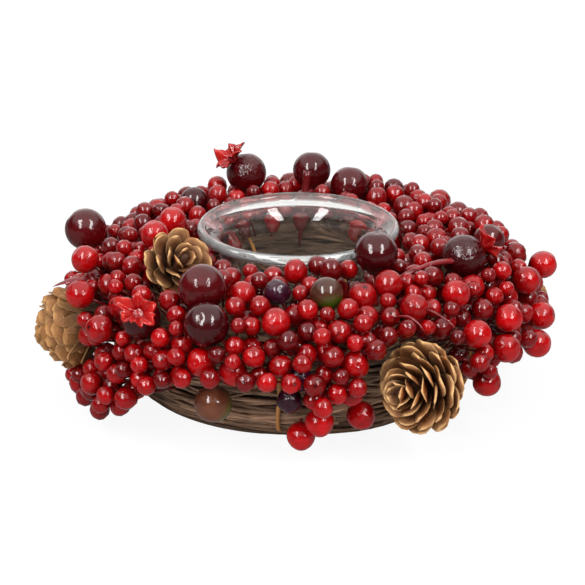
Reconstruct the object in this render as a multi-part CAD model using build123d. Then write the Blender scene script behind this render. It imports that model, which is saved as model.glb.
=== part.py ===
from build123d import *

import math
import os

import numpy as np

# Candle ring: a glass cup standing in a wreath of wound vine canes, which is dressed with
# lacquered berries on wires, larger fruits on stems and small conifer cones.
# Frame: origin on the cup's axis at table level, +Z up, -Y towards the side that is seen.
# A place on the ring is a bearing (degrees from +X round +Z), a reach (distance from the
# axis) and a height. All lengths are in millimetres.

# Glass cup
CUP_HEIGHT = 71.0
CUP_RIM_D = 85.0
CUP_NECK_D = 67.0
CUP_BASE_D = 60.0
CUP_WALL = 3.9
CUP_FLOOR = 5.0
CUP_BEAD_D = 4.4
CUP_NECK_ROUND = 5.0
CUP_NECK_TURN = 75.0
CUP_BOWL_R = 15.0
CUP_BOWL_TURN = 68.0
CUP_FOOT_ROUND = 3.0
CUP_WELL_ROUND = 5.0

# Vine wreath: canes wound side by side over a core, round a racetrack section
BUNDLE_WIDTH = 44.0
BUNDLE_RISE = 8.0
CANE_D = 4.8
CANE_GAP = 0.3
VINE_COUNT = 8
TURNS_PER_VINE = 3
VINE_END_GAP = 0.01
FOOT_FLAT = 0.5
STAGGER = 137.5

# Rattan ties, which also centre the cup in the ring
TIE_D = 1.6
TIE_COUNT = 5
TIE_FIRST_BEARING = -96.0
TIE_CLEARANCE = 0.2
CUP_CLEARANCE = 0.3

# Cones: a spindle core with whorls of scales
CONE_WHORLS = 7
CONE_SCALES = 8
CONE_SCALE_THICK = 1.1
CONE_FOOT_SHARE = 1.3
CONE_CORE_SHARE = 0.30
CONE_LEAN_LOW = 66.0
CONE_LEAN_HIGH = 34.0

# Crowns on the fruits that have one
CROWN_D = 14.0
CROWN_RISE = 4.2
CROWN_THICK = 1.0
CROWN_NECK_D = 4.4
CROWN_NECK_LENGTH = 1.6
CROWN_POINTS = 6

# Stems, wires and the gaps that keep neighbours apart
STEM_D = 2.2
WIRE_D = 1.0
SEAT_GAP = 0.03
FOOT_LIFT = 0.07
LEAST_STALK_SLOPE = 0.12
NEIGHBOUR_GAP = 0.25
FLOOR_GAP = 0.4
STANDOFF = 2.4
STANDOFF_SIDE = 8.0

# Berries: sizes in the order they are used, and how thick the mound of berries is
BERRY_SIZES = [8.6, 9.4, 8.2, 10.2, 9.0, 9.6, 8.4, 10.8]
BRIGHT_BERRY_D = 11.8
SLOE_D = 10.5
SMALL_SIZES = [7.4, 6.6, 7.8, 7.0]
SMALL_TRIES = 6000
SMALL_STANDOFF_SHARE = 0.35
MOUND_TOP = 19.5
MOUND_CUP_SIDE = 18.5
BERRY_TRIES = 14000
ROLL_STEP = 3.0
PICK_COUNT = 12
LOWEST_LEAN = -42.0
HIGHEST_LEAN = 158.0

# Fruits: name, diameter, bearing, reach, height, and the way its crown points, if it has one
FRUITS = [
    ("pomegranate_back", 17.6, 109.0, 69.5, 71.5, (-0.62, -0.20, 0.76)),
    ("pomegranate_left", 16.6, -133.5, 92.0, 53.5, (-0.10, -0.78, 0.62)),
    ("pomegranate_right", 18.4, -24.0, 74.5, 67.0, (0.86, 0.30, 0.42)),
    ("plum_back", 16.6, 85.0, 69.5, 71.5, None),
    ("plum_back_right", 17.0, 70.5, 68.0, 66.0, None),
    ("plum_mid_left", 12.4, 133.5, 65.5, 64.5, None),
    ("plum_left", 17.6, 167.0, 93.0, 61.0, None),
    ("plum_cup_left", 19.4, -120.5, 77.5, 67.5, None),
    ("plum_front_left", 18.2, -113.5, 92.0, 57.0, None),
    ("plum_cup_right", 18.2, -56.0, 55.0, 73.5, None),
    ("plum_right", 13.6, -3.0, 80.0, 65.0, None),
    ("unripe_plum_cup", 13.8, -81.0, 72.0, 66.0, None),
    ("unripe_plum_front", 15.2, -113.0, 87.0, 22.5, None),
]

# Cones: name, length, width, bearing, reach and height of its middle, and the way its tip points
CONES = [
    ("cone_front_right", 36.0, 38.5, -63.0, 99.5, 33.0, (-0.66, -0.72, 0.12)),
    ("cone_left", 27.0, 33.0, -167.0, 97.0, 31.0, (-0.86, 0.15, -0.32)),
    ("cone_cup_left", 18.0, 31.0, -136.0, 66.0, 71.0, (0.40, -0.68, 0.62)),
    ("cone_right", 25.0, 25.0, 9.0, 98.0, 33.0, (0.80, 0.35, -0.15)),
    ("cone_back_left", 32.0, 32.0, 128.0, 97.0, 36.0, (-0.40, 0.80, 0.30)),
    ("cone_back_right", 34.0, 33.0, 52.0, 98.0, 32.0, (0.45, 0.80, 0.10)),
]

# Places of the large bright berries: bearing, reach, height
BRIGHT_BERRIES = [
    (-166, 91, 63), (-164, 62, 72), (177, 53, 71), (-156, 98, 54), (-143, 101, 47),
    (-96, 85, 59), (-114, 95, 44), (-106, 94, 40), (-76, 93, 43), (-60, 71, 66),
    (-68, 71, 63), (-57, 85, 60), (-42, 86, 61), (-44, 100, 48), (-31, 100, 48),
    (-35, 103, 38), (-14, 104, 39), (-20, 105, 31), (4, 104, 50), (-12, 97, 53),
    (-40, 100, 25), (-85, 91, 18), (-89, 86, 11), (-73, 86, 18),
]
# Berries in front of the cup: diameter, bearing, reach, height
CUP_BERRIES = [(10.2, -91, 53, 69), (9.0, -81, 50, 70), (9.4, -77, 58, 71), (8.0, -67, 54, 69)]
# Thickness of the mound of berries beside the canes round the ring
MOUND_SIDE = [(-180, 25), (-150, 29), (-120, 32), (60, 32), (130, 30), (180, 25)]
SLOES = [(-97, 70, 66), (-90, 92, 37), (-92, 91, 29)]

# How far over the top towards the cup the loose berries go, in degrees of lean round the ring
INNER_EDGE = [(-180, 158), (20, 158), (50, 116), (130, 116), (160, 158), (180, 158)]

# Height of the loose berries' lowest edge round the ring: they hang low beside the bare canes
LOW_EDGE = [
    (-180, 10), (-160, 4), (-142, 4), (-132, 20), (-122, 31), (-112, 35), (-92, 35), (-86, 22),
    (-66, 20), (-58, 26), (-48, 17), (0, 17), (40, 10), (180, 10),
]

# Derived sizes
CUP_RIM_R = CUP_RIM_D / 2
CUP_NECK_R = CUP_NECK_D / 2
CUP_BASE_R = CUP_BASE_D / 2
CUP_BEAD_R = CUP_BEAD_D / 2
NECK_ANGLE = math.radians(CUP_NECK_TURN)
BOWL_ANGLE = math.radians(CUP_BOWL_TURN)
UNDER_BEAD = (
    CUP_RIM_R - CUP_BEAD_R + CUP_BEAD_R * math.cos(NECK_ANGLE),
    CUP_HEIGHT - CUP_BEAD_R - CUP_BEAD_R * math.sin(NECK_ANGLE),
)
OVER_BEAD = (
    CUP_RIM_R - CUP_BEAD_R - CUP_BEAD_R * math.cos(BOWL_ANGLE),
    CUP_HEIGHT - CUP_BEAD_R + CUP_BEAD_R * math.sin(BOWL_ANGLE),
)


def flare_foot(reach, radius, turn, end):
    """Height at which a flare of this radius leaves a wall at this reach to end tangent at a point."""
    run = (end[0] - reach - radius * (1 - math.cos(turn))) / math.sin(turn)
    return end[1] - radius * math.sin(turn) - run * math.cos(turn)


CUP_NECK_Z = flare_foot(CUP_NECK_R, CUP_NECK_ROUND, NECK_ANGLE, UNDER_BEAD)
WELL_NECK_R = CUP_NECK_R - CUP_WALL
WELL_NECK_Z = flare_foot(WELL_NECK_R, CUP_BOWL_R, BOWL_ANGLE, OVER_BEAD)

BUNDLE_R = BUNDLE_WIDTH / 2
BUNDLE_HEIGHT = BUNDLE_WIDTH + BUNDLE_RISE
RING_Z = BUNDLE_HEIGHT / 2 - FOOT_FLAT
SEAT_Z = RING_Z + BUNDLE_RISE / 2
CUP_SEAT_R = CUP_BASE_R + (CUP_NECK_R - CUP_BASE_R) * SEAT_Z / CUP_NECK_Z
TIE_STACK = TIE_D + TIE_CLEARANCE
RING_R = CUP_SEAT_R + CUP_CLEARANCE + TIE_STACK + BUNDLE_R
CANE_TRACK_R = BUNDLE_R - CANE_D / 2
CORE_R = CANE_TRACK_R - CANE_D / 2 - CANE_GAP
TIE_TRACK_R = BUNDLE_R + TIE_CLEARANCE + TIE_D / 2
TRACK_LENGTH = 2 * math.pi * CANE_TRACK_R + 2 * BUNDLE_RISE
WINDING_TURNS = VINE_COUNT * TURNS_PER_VINE
CANE_PITCH = TRACK_LENGTH / WINDING_TURNS
GOLDEN = 0.6180339887
PLASTIC = 0.7548776662


def at(bearing, reach, height):
    """The point at a bearing in degrees, a reach and a height."""
    angle = math.radians(bearing)
    return np.array([reach * math.cos(angle), reach * math.sin(angle), height])


def bearing_of(point):
    """Bearing of a point in degrees."""
    return math.degrees(math.atan2(point[1], point[0]))


def unit(vector):
    """The vector at length 1."""
    vector = np.asarray(vector, float)
    return vector / np.linalg.norm(vector)


# Glass cup


def flare_arc(reach, height, radius, turn):
    """Three points of a flare that leaves a wall upwards at a place and turns outwards."""
    return [
        (reach + radius * (1 - math.cos(part)), 0, height + radius * math.sin(part))
        for part in (0, turn / 2, turn)
    ]


def make_cup():
    """Turned cup: tapered wall, flat foot and floor, and a rim that flares into a round bead."""
    neck = flare_arc(CUP_NECK_R, CUP_NECK_Z, CUP_NECK_ROUND, NECK_ANGLE)
    bowl = flare_arc(WELL_NECK_R, WELL_NECK_Z, CUP_BOWL_R, BOWL_ANGLE)
    under = (UNDER_BEAD[0], 0, UNDER_BEAD[1])
    over = (OVER_BEAD[0], 0, OVER_BEAD[1])
    outside = FilletPolyline((0, 0, 0), (CUP_BASE_R, 0, 0), neck[0], radius=CUP_FOOT_ROUND)
    inside = FilletPolyline(
        bowl[0], (CUP_BASE_R - CUP_WALL, 0, CUP_FLOOR), (0, 0, CUP_FLOOR), radius=CUP_WELL_ROUND
    )
    edges = [
        outside,
        ThreePointArc(*neck),
        Line(neck[2], under),
        ThreePointArc(under, (CUP_RIM_R, 0, CUP_HEIGHT - CUP_BEAD_R), over),
        Line(over, bowl[2]),
        ThreePointArc(*reversed(bowl)),
        inside,
        Line((0, 0, CUP_FLOOR), (0, 0, 0)),
    ]
    return revolve(make_face(Curve() + edges), Axis.Z)


# Vine wreath


def track_point(along):
    """Place on the canes' racetrack section, as offsets outwards and upwards from its middle.

    The track starts low on the inside, goes up, over the top, down the outside and under."""
    half = BUNDLE_RISE / 2
    arc = math.pi * CANE_TRACK_R
    along = along % TRACK_LENGTH
    if along < BUNDLE_RISE:
        return -CANE_TRACK_R, along - half
    along -= BUNDLE_RISE
    if along < arc:
        angle = along / CANE_TRACK_R
        return -CANE_TRACK_R * math.cos(angle), half + CANE_TRACK_R * math.sin(angle)
    along -= arc
    if along < BUNDLE_RISE:
        return CANE_TRACK_R, half - along
    angle = (along - BUNDLE_RISE) / CANE_TRACK_R
    return CANE_TRACK_R * math.cos(angle), -half - CANE_TRACK_R * math.sin(angle)


def winding_point(turns):
    """Centre of the cane after this many turns: it moves one pitch round the section each turn."""
    outwards, upwards = track_point(turns * CANE_PITCH)
    angle = 2 * math.pi * turns
    reach = RING_R + outwards
    return np.array([reach * math.cos(angle), reach * math.sin(angle), RING_Z + upwards])


def winding_tangent(turns, step=1e-4):
    """Direction of the cane after this many turns."""
    return unit(winding_point(turns + step) - winding_point(turns - step))


def biarc(start, start_way, end, end_way):
    """Two arcs, tangent to each other, from one point and direction to another."""
    chord = end - start
    ways = start_way + end_way
    square = 2 * (1 - start_way @ end_way)
    linear = 2 * chord @ ways
    reach = (math.sqrt(linear**2 + 4 * square * (chord @ chord)) - linear) / (2 * square)
    middle = (start + reach * start_way + end - reach * end_way) / 2
    join_way = unit(end - reach * end_way - start - reach * start_way)
    return [
        Edge.make_tangent_arc(Vector(*start), Vector(*start_way), Vector(*middle)),
        Edge.make_tangent_arc(Vector(*middle), Vector(*join_way), Vector(*end)),
    ]


def vine_start(index):
    """Turns at which a vine starts. The starts are staggered round the ring."""
    if index in (0, VINE_COUNT):
        return index * TURNS_PER_VINE
    return index * TURNS_PER_VINE + (index * STAGGER % 360) / 360


def least_gap(start, end, steps_per_turn=72):
    """Least gap of a wound cane to itself, measured on points along its middle."""
    turns = np.arange(start, end, 1 / steps_per_turn)
    points = np.array([winding_point(t) for t in turns])
    apart = np.linalg.norm(points[:, None] - points[None], axis=2)
    far_along = np.abs(turns[:, None] - turns[None]) > 0.5
    return apart[far_along].min() - CANE_D


def make_vine(index):
    """One cane, wound round the ring as an unbroken tube and cut flat where it meets the table."""
    start = vine_start(index)
    end = vine_start(index + 1) - VINE_END_GAP
    print(f"vine_{index + 1}: turns {end - start:.2f}, least gap {least_gap(start, end):.2f} mm")
    stations = np.linspace(start, end, math.ceil((end - start) * 4) + 1)
    edges = []
    for first, second in zip(stations[:-1], stations[1:]):
        edges += biarc(
            winding_point(first), winding_tangent(first), winding_point(second), winding_tangent(second)
        )
    mouth = Plane(Vector(*winding_point(start)), z_dir=Vector(*winding_tangent(start)))
    cane = sweep(mouth * Circle(CANE_D / 2), path=Wire(edges))
    if cane.bounding_box().min.Z < 0:
        cane = split(cane, bisect_by=Plane.XY, keep=Keep.TOP)
    return cane


def make_core():
    """The inner canes of the bundle as one plain ring under the wound layer."""
    section = Pos(RING_R, 0, RING_Z) * Rot(X=90) * (
        Rectangle(2 * CORE_R, BUNDLE_RISE)
        + Pos(0, BUNDLE_RISE / 2) * Circle(CORE_R)
        + Pos(0, -BUNDLE_RISE / 2) * Circle(CORE_R)
    )
    return revolve(section, Axis.Z)


def make_tie(bearing):
    """A rattan strand round the bundle, open below, where its ends are tucked between the canes."""
    top = RING_Z + BUNDLE_RISE / 2
    bottom = RING_Z - BUNDLE_RISE / 2
    tuck = math.asin((bottom - TIE_D / 2 - FLOOR_GAP) / TIE_TRACK_R)

    def low(side, angle):
        return (
            RING_R + side * TIE_TRACK_R * math.cos(angle),
            0,
            bottom - TIE_TRACK_R * math.sin(angle),
        )

    inside, outside = RING_R - TIE_TRACK_R, RING_R + TIE_TRACK_R
    edges = [
        ThreePointArc(low(-1, tuck), low(-1, tuck / 2), low(-1, 0)),
        Line((inside, 0, bottom), (inside, 0, top)),
        ThreePointArc((inside, 0, top), (RING_R, 0, top + TIE_TRACK_R), (outside, 0, top)),
        Line((outside, 0, top), (outside, 0, bottom)),
        ThreePointArc(low(1, 0), low(1, tuck / 2), low(1, tuck)),
    ]
    start_way = Vector(-math.sin(tuck), 0, math.cos(tuck))
    mouth = Plane(Vector(*low(-1, tuck)), z_dir=start_way)
    return Rot(Z=bearing) * sweep(mouth * Circle(TIE_D / 2), path=Wire(edges))


def tie_bearings():
    """Bearings of the ties, evenly spaced."""
    return [TIE_FIRST_BEARING + 360 * i / TIE_COUNT for i in range(TIE_COUNT)]


# Cones


def cone_whorls(length, width):
    """Each whorl's tip reach, tip height, lean from the axis and turn about the axis."""
    whorls = []
    for i in range(CONE_WHORLS):
        share = (i + 0.5) / CONE_WHORLS
        reach = width / 2 * math.sin(math.pi * (0.24 + 0.66 * share))
        height = length * (0.12 + 0.86 * share)
        lean = math.radians(CONE_LEAN_LOW + (CONE_LEAN_HIGH - CONE_LEAN_LOW) * share)
        lean = max(lean, math.atan2(reach, height - CONE_FOOT_SHARE * CONE_SCALE_THICK))
        whorls.append((reach, height, lean, 180 / CONE_SCALES * (i % 2)))
    return whorls


def make_cone(length, width):
    """One open cone with its stalk end at the origin and its tip up: core and whorls of scales."""
    core_r = width / 2 * CONE_CORE_SHARE
    spindle = Polyline(
        (0, 0, 0),
        (core_r * 0.6, 0, 0),
        (core_r, 0, length * 0.4),
        (core_r * 0.3, 0, length * 0.9),
        (0, 0, length * 0.9),
        close=True,
    )
    pieces = []
    for reach, height, lean, turn in cone_whorls(length, width):
        root_r = core_r / 4
        root_z = height - (reach - root_r) / math.tan(lean)
        thick = CONE_SCALE_THICK / math.sin(lean)
        sheet = Polyline(
            (root_r, 0, root_z),
            (reach, 0, height),
            (reach, 0, height - thick),
            (root_r, 0, root_z - thick),
            close=True,
        )
        petal_r = reach * 0.31
        rosette = Circle(reach * 0.62) + PolarLocations(reach - petal_r, CONE_SCALES, turn) * Circle(petal_r)
        prism = Pos(0, 0, -length) * extrude(rosette, amount=3 * length)
        pieces.append(revolve(make_face(sheet), Axis.Z) & prism)
    return revolve(make_face(spindle), Axis.Z).fuse(*pieces)


def cone_guard(length, width):
    """Balls along a cone's axis that hold all of it: height on the axis and radius."""
    return [
        (height - reach / math.tan(lean) * 0.3, math.hypot(reach, reach / math.tan(lean) * 0.3))
        for reach, height, lean, _ in cone_whorls(length, width)
    ]


# Fruits, crowns and stems


def make_crown():
    """A star of sepals on a short neck, its foot at the origin, opening upwards."""
    crown_r = CROWN_D / 2
    neck_r = CROWN_NECK_D / 2
    low = CROWN_NECK_LENGTH - CROWN_THICK
    sheet = Polyline(
        (0, 0, low),
        (crown_r, 0, low + CROWN_RISE),
        (crown_r, 0, low + CROWN_RISE + CROWN_THICK),
        (0, 0, low + CROWN_THICK),
        close=True,
    )
    star = []
    for i in range(2 * CROWN_POINTS):
        angle = math.pi * i / CROWN_POINTS
        tip = crown_r if i % 2 == 0 else crown_r * 0.55
        star.append((tip * math.cos(angle), tip * math.sin(angle)))
    prism = extrude(make_face(Polyline(*star, close=True)), amount=CUP_HEIGHT)
    neck = Cylinder(neck_r, CROWN_NECK_LENGTH, align=(Align.CENTER, Align.CENTER, Align.MIN))
    return neck + (revolve(make_face(sheet), Axis.Z) & prism)


def make_rod(start, end, diameter):
    """A straight round rod from one point to another."""
    way = Vector(*(end - start))
    foot = Plane(Vector(*start), z_dir=way)
    return foot * Cylinder(diameter / 2, way.length, align=(Align.CENTER, Align.CENTER, Align.MIN))


# Settling the pieces: every piece is a group of balls that keep clear of the other groups


def spine_point(points):
    """Nearest point to each point on the middle of the bundle's section."""
    points = np.atleast_2d(points)
    reach = np.hypot(points[:, 0], points[:, 1])
    height = np.clip(points[:, 2], RING_Z - BUNDLE_RISE / 2, RING_Z + BUNDLE_RISE / 2)
    return np.column_stack([points[:, :2] * (RING_R / reach)[:, None], height])


def keep_out_reach(heights, radii):
    """Reach that balls need so that the cup can be lifted out past them."""
    beside_rim = heights + radii > CUP_NECK_Z - NEIGHBOUR_GAP
    return np.where(beside_rim, CUP_RIM_R, CUP_NECK_R) + radii + 2 * NEIGHBOUR_GAP


def push_off_solids(points, radii, standoff):
    """Moves balls out of the bundle, the cup's way and the table."""
    spine = spine_point(points)
    away = points - spine
    distance = np.linalg.norm(away, axis=1)
    need = np.maximum(BUNDLE_R + standoff + radii - distance, 0)
    points = points + away / distance[:, None] * need[:, None]
    reach = np.hypot(points[:, 0], points[:, 1])
    need = np.maximum(keep_out_reach(points[:, 2], radii) - reach, 0)
    points[:, :2] += points[:, :2] / reach[:, None] * need[:, None]
    points[:, 2] = np.maximum(points[:, 2], radii + FLOOR_GAP)
    return points


def settle(groups, rounds=400):
    """Moves groups of balls apart until none overlap. A group is (place, [(offset, radius)])."""
    places = np.array([place for place, _ in groups], float)
    owner = np.array([i for i, (_, balls) in enumerate(groups) for _ in balls])
    offsets = np.array([offset for _, balls in groups for offset, _ in balls], float)
    radii = np.array([radius for _, balls in groups for _, radius in balls], float)
    share = np.array([1 / len(balls) ** 2 for _, balls in groups])
    for _ in range(rounds):
        points = places[owner] + offsets
        apart = points[:, None] - points[None]
        distance = np.linalg.norm(apart, axis=2) + 1e-9
        overlap = radii[:, None] + radii[None] + 1.2 * NEIGHBOUR_GAP - distance
        overlap[owner[:, None] == owner[None]] = 0
        overlap = np.maximum(overlap, 0)
        weight = share[owner][:, None] / (share[owner][:, None] + share[owner][None])
        moves = (apart / distance[:, :, None] * (overlap * weight)[:, :, None]).sum(axis=1)
        moves += push_off_solids(points, radii, STANDOFF) - points
        for i in range(len(places)):
            own = moves[owner == i]
            places[i] += 0.6 * own[np.argmax(np.linalg.norm(own, axis=1))]
    return places


def set_berries():
    """Berries with a place of their own: diameter, bearing, reach and height."""
    return [(BRIGHT_BERRY_D, *place) for place in BRIGHT_BERRIES] + CUP_BERRIES


def hero_groups():
    """Fruits, cones, berries with a place of their own and sloes as groups of balls, in that order."""
    groups = []
    for _, diameter, bearing, reach, height, crown in FRUITS:
        balls = [(np.zeros(3), diameter / 2)]
        if crown:
            lift = diameter / 2 + CROWN_NECK_LENGTH + CROWN_RISE / 2
            balls.append((unit(crown) * lift, CROWN_D / 2 + CROWN_THICK / 2))
        groups.append((at(bearing, reach, height), balls))
    for _, length, width, bearing, reach, height, tip in CONES:
        balls = [(unit(tip) * (z - length / 2), r) for z, r in cone_guard(length, width)]
        groups.append((at(bearing, reach, height), balls))
    for diameter, *place in set_berries():
        groups.append((at(*place), [(np.zeros(3), diameter / 2)]))
    for place in SLOES:
        groups.append((at(*place), [(np.zeros(3), SLOE_D / 2)]))
    return groups


def round_the_ring(table, bearings):
    """Value at each bearing of a table of (bearing, value)."""
    bearings = (np.asarray(bearings) + 180) % 360 - 180
    return np.interp(bearings, *zip(*table))


def mound_limit(bearings, leans):
    """Thickness of the mound of berries over the bundle at each bearing and lean."""
    side = round_the_ring(MOUND_SIDE, bearings)
    outer = np.clip(leans / 90, 0, 1) ** 1.5
    inner = np.clip((leans - 90) / 60, 0, 1)
    return side + (MOUND_TOP - side) * outer + (MOUND_CUP_SIDE - MOUND_TOP) * inner


def standoff(lean):
    """How far the innermost berries stand off the bundle at this lean."""
    share = np.clip(np.asarray(lean) / 90, 0, 1)
    return STANDOFF_SIDE + (STANDOFF - STANDOFF_SIDE) * share


def drop(bearings, leans, radius, points, radii, depth):
    """Lowers a berry towards the bundle along rays until it rests on the balls that are there.

    Returns where it stops on each ray and how high that is over the innermost berries' level.
    The height is infinite where a berry may not be."""
    around, up = np.radians(bearings), np.radians(leans)
    outwards = np.column_stack([np.cos(around), np.sin(around), np.zeros(len(around))])
    ways = outwards * np.cos(up)[:, None]
    ways[:, 2] = np.sin(up)
    feet = outwards * RING_R
    feet[:, 2] = RING_Z + np.copysign(BUNDLE_RISE / 2, leans)
    apart = points[None] - feet[:, None]
    along = (apart * ways[:, None]).sum(axis=2)
    square = (radii + radius + NEIGHBOUR_GAP) ** 2 - (apart**2).sum(axis=2) + along**2
    stops = np.where(square > 0, along + np.sqrt(np.maximum(square, 0)), 0).max(axis=1)
    level = BUNDLE_R + depth * standoff(leans) + radius
    stops = np.maximum(stops, level)
    centres = feet + ways * stops[:, None]
    heights = stops - level
    beside_cup = np.hypot(centres[:, 0], centres[:, 1]) < keep_out_reach(centres[:, 2], radius)
    too_far = stops + radius > BUNDLE_R + mound_limit(bearings, leans)
    too_low = centres[:, 2] - radius < round_the_ring(LOW_EDGE, bearings)
    too_far_in = leans > round_the_ring(INNER_EDGE, bearings)
    heights[beside_cup | too_far | too_low | too_far_in] = np.inf
    return centres, heights


def pile_berries(points, radii, sizes, tries, depth):
    """Drops berries one by one and lets each roll over the pile until it is caught.

    Takes the balls that are there already, the sizes, the number of berries to try and the share
    of the standoff that they keep. Returns the balls that were there and the new ones."""
    points, radii = np.array(points), np.array(radii)
    turns = np.radians(np.arange(0, 360, 45))
    for i in range(tries):
        bearing = 360 * (i * GOLDEN % 1) - 180
        lean = LOWEST_LEAN + (HIGHEST_LEAN - LOWEST_LEAN) * (i * PLASTIC % 1)
        radius = sizes[i % len(sizes)] / 2
        centres, heights = drop(np.array([bearing]), np.array([lean]), radius, points, radii, depth)
        centre, height = centres[0], heights[0]
        step = ROLL_STEP
        while step > ROLL_STEP / 8 and np.isfinite(height):
            bearings = bearing + step * np.cos(turns)
            leans = lean + 2 * step * np.sin(turns)
            centres, heights = drop(bearings, leans, radius, points, radii, depth)
            best = heights.argmin()
            if heights[best] < height - 0.01:
                centre, height = centres[best], heights[best]
                bearing, lean = bearings[best], leans[best]
            else:
                step /= 2
        if np.isfinite(height):
            points = np.vstack([points, centre])
            radii = np.append(radii, radius)
    return points, radii


def segment_distance(start, end, points):
    """Distance of each point from a straight segment."""
    way = end - start
    share = np.clip((points - start) @ way / (way @ way), 0, 1)
    return np.linalg.norm(points - start - share[:, None] * way, axis=1)


def clear_of_ties(samples, off_bundle, rod_r):
    """Whether points along a rod, at these distances from the bundle's middle, clear every tie."""
    gap = TIE_D / 2 + rod_r + NEIGHBOUR_GAP
    near = samples[off_bundle < TIE_TRACK_R + gap]
    for bearing in tie_bearings():
        way = at(bearing, 1, 0)
        aside = np.abs(near[:, 0] * way[1] - near[:, 1] * way[0])
        if ((near @ way > 0) & (aside < gap)).any():
            return False
    return True


def find_rod(centre, radius, rod_r, points, radii, rods, facing=None):
    """A straight way from a ball, or a flat end that faces this way, down to the bundle.

    It clears every other ball and rod. Tries feet further and further from the nearest one.
    Returns its ends, or None."""
    spine = spine_point(centre)[0]
    base_way = unit(centre - spine)
    base_bearing = bearing_of(centre)
    base_lean = math.degrees(math.asin(np.clip(base_way[2], -1, 1)))
    if math.hypot(centre[0], centre[1]) < RING_R:
        base_lean = 180 - base_lean
    others = np.linalg.norm(points - centre, axis=1) > 1e-6
    for ring in range(5):
        for step in range(max(1, 8 * ring)):
            turn = 2 * math.pi * step / max(1, 8 * ring)
            bearing = base_bearing + 4.5 * ring * math.cos(turn)
            up = math.radians(base_lean + 11 * ring * math.sin(turn))
            way = at(bearing, math.cos(up), math.sin(up))
            foot = at(bearing, RING_R, spine[2]) + way * BUNDLE_R
            tilt = np.linalg.norm(np.cross(way, unit(centre - foot)))
            foot = foot + way * (SEAT_GAP + rod_r * (FOOT_LIFT + 1.12 * tilt))
            if foot[2] - rod_r < FLOOR_GAP:
                continue
            run = np.linalg.norm(foot - centre)
            top = centre + (foot - centre) * (radius + SEAT_GAP) / run
            if run - radius < 2 * rod_r:
                continue
            if facing is not None:
                slope = facing @ (foot - centre) / run
                if slope < LEAST_STALK_SLOPE:
                    continue
                top = centre + facing * (SEAT_GAP + 1.1 * rod_r * math.sqrt(1 - slope**2))
            clear = segment_distance(foot, top, points[others]) - radii[others]
            if clear.min() < rod_r + NEIGHBOUR_GAP:
                continue
            samples = np.linspace(foot, top, 40)
            off_bundle = np.linalg.norm(samples - spine_point(samples), axis=1)
            if off_bundle.min() < BUNDLE_R + SEAT_GAP + rod_r * tilt:
                continue
            if not clear_of_ties(samples, off_bundle, rod_r):
                continue
            cup_reach = keep_out_reach(samples[:, 2], np.full(len(samples), rod_r))
            if (np.hypot(samples[:, 0], samples[:, 1]) < cup_reach).any():
                continue
            if all(
                segment_distance(a, b, samples).min() > rod_r + r + NEIGHBOUR_GAP for a, b, r in rods
            ):
                return top, foot
    return None


def write(name, shapes):
    """Writes a node's solids to its STEP file."""
    solids = [solid for shape in shapes for solid in shape.solids()]
    whole = solids[0] if len(solids) == 1 else Compound(children=solids)
    export_step(whole, f"parts/{name}.step")
    return len(solids)


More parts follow.
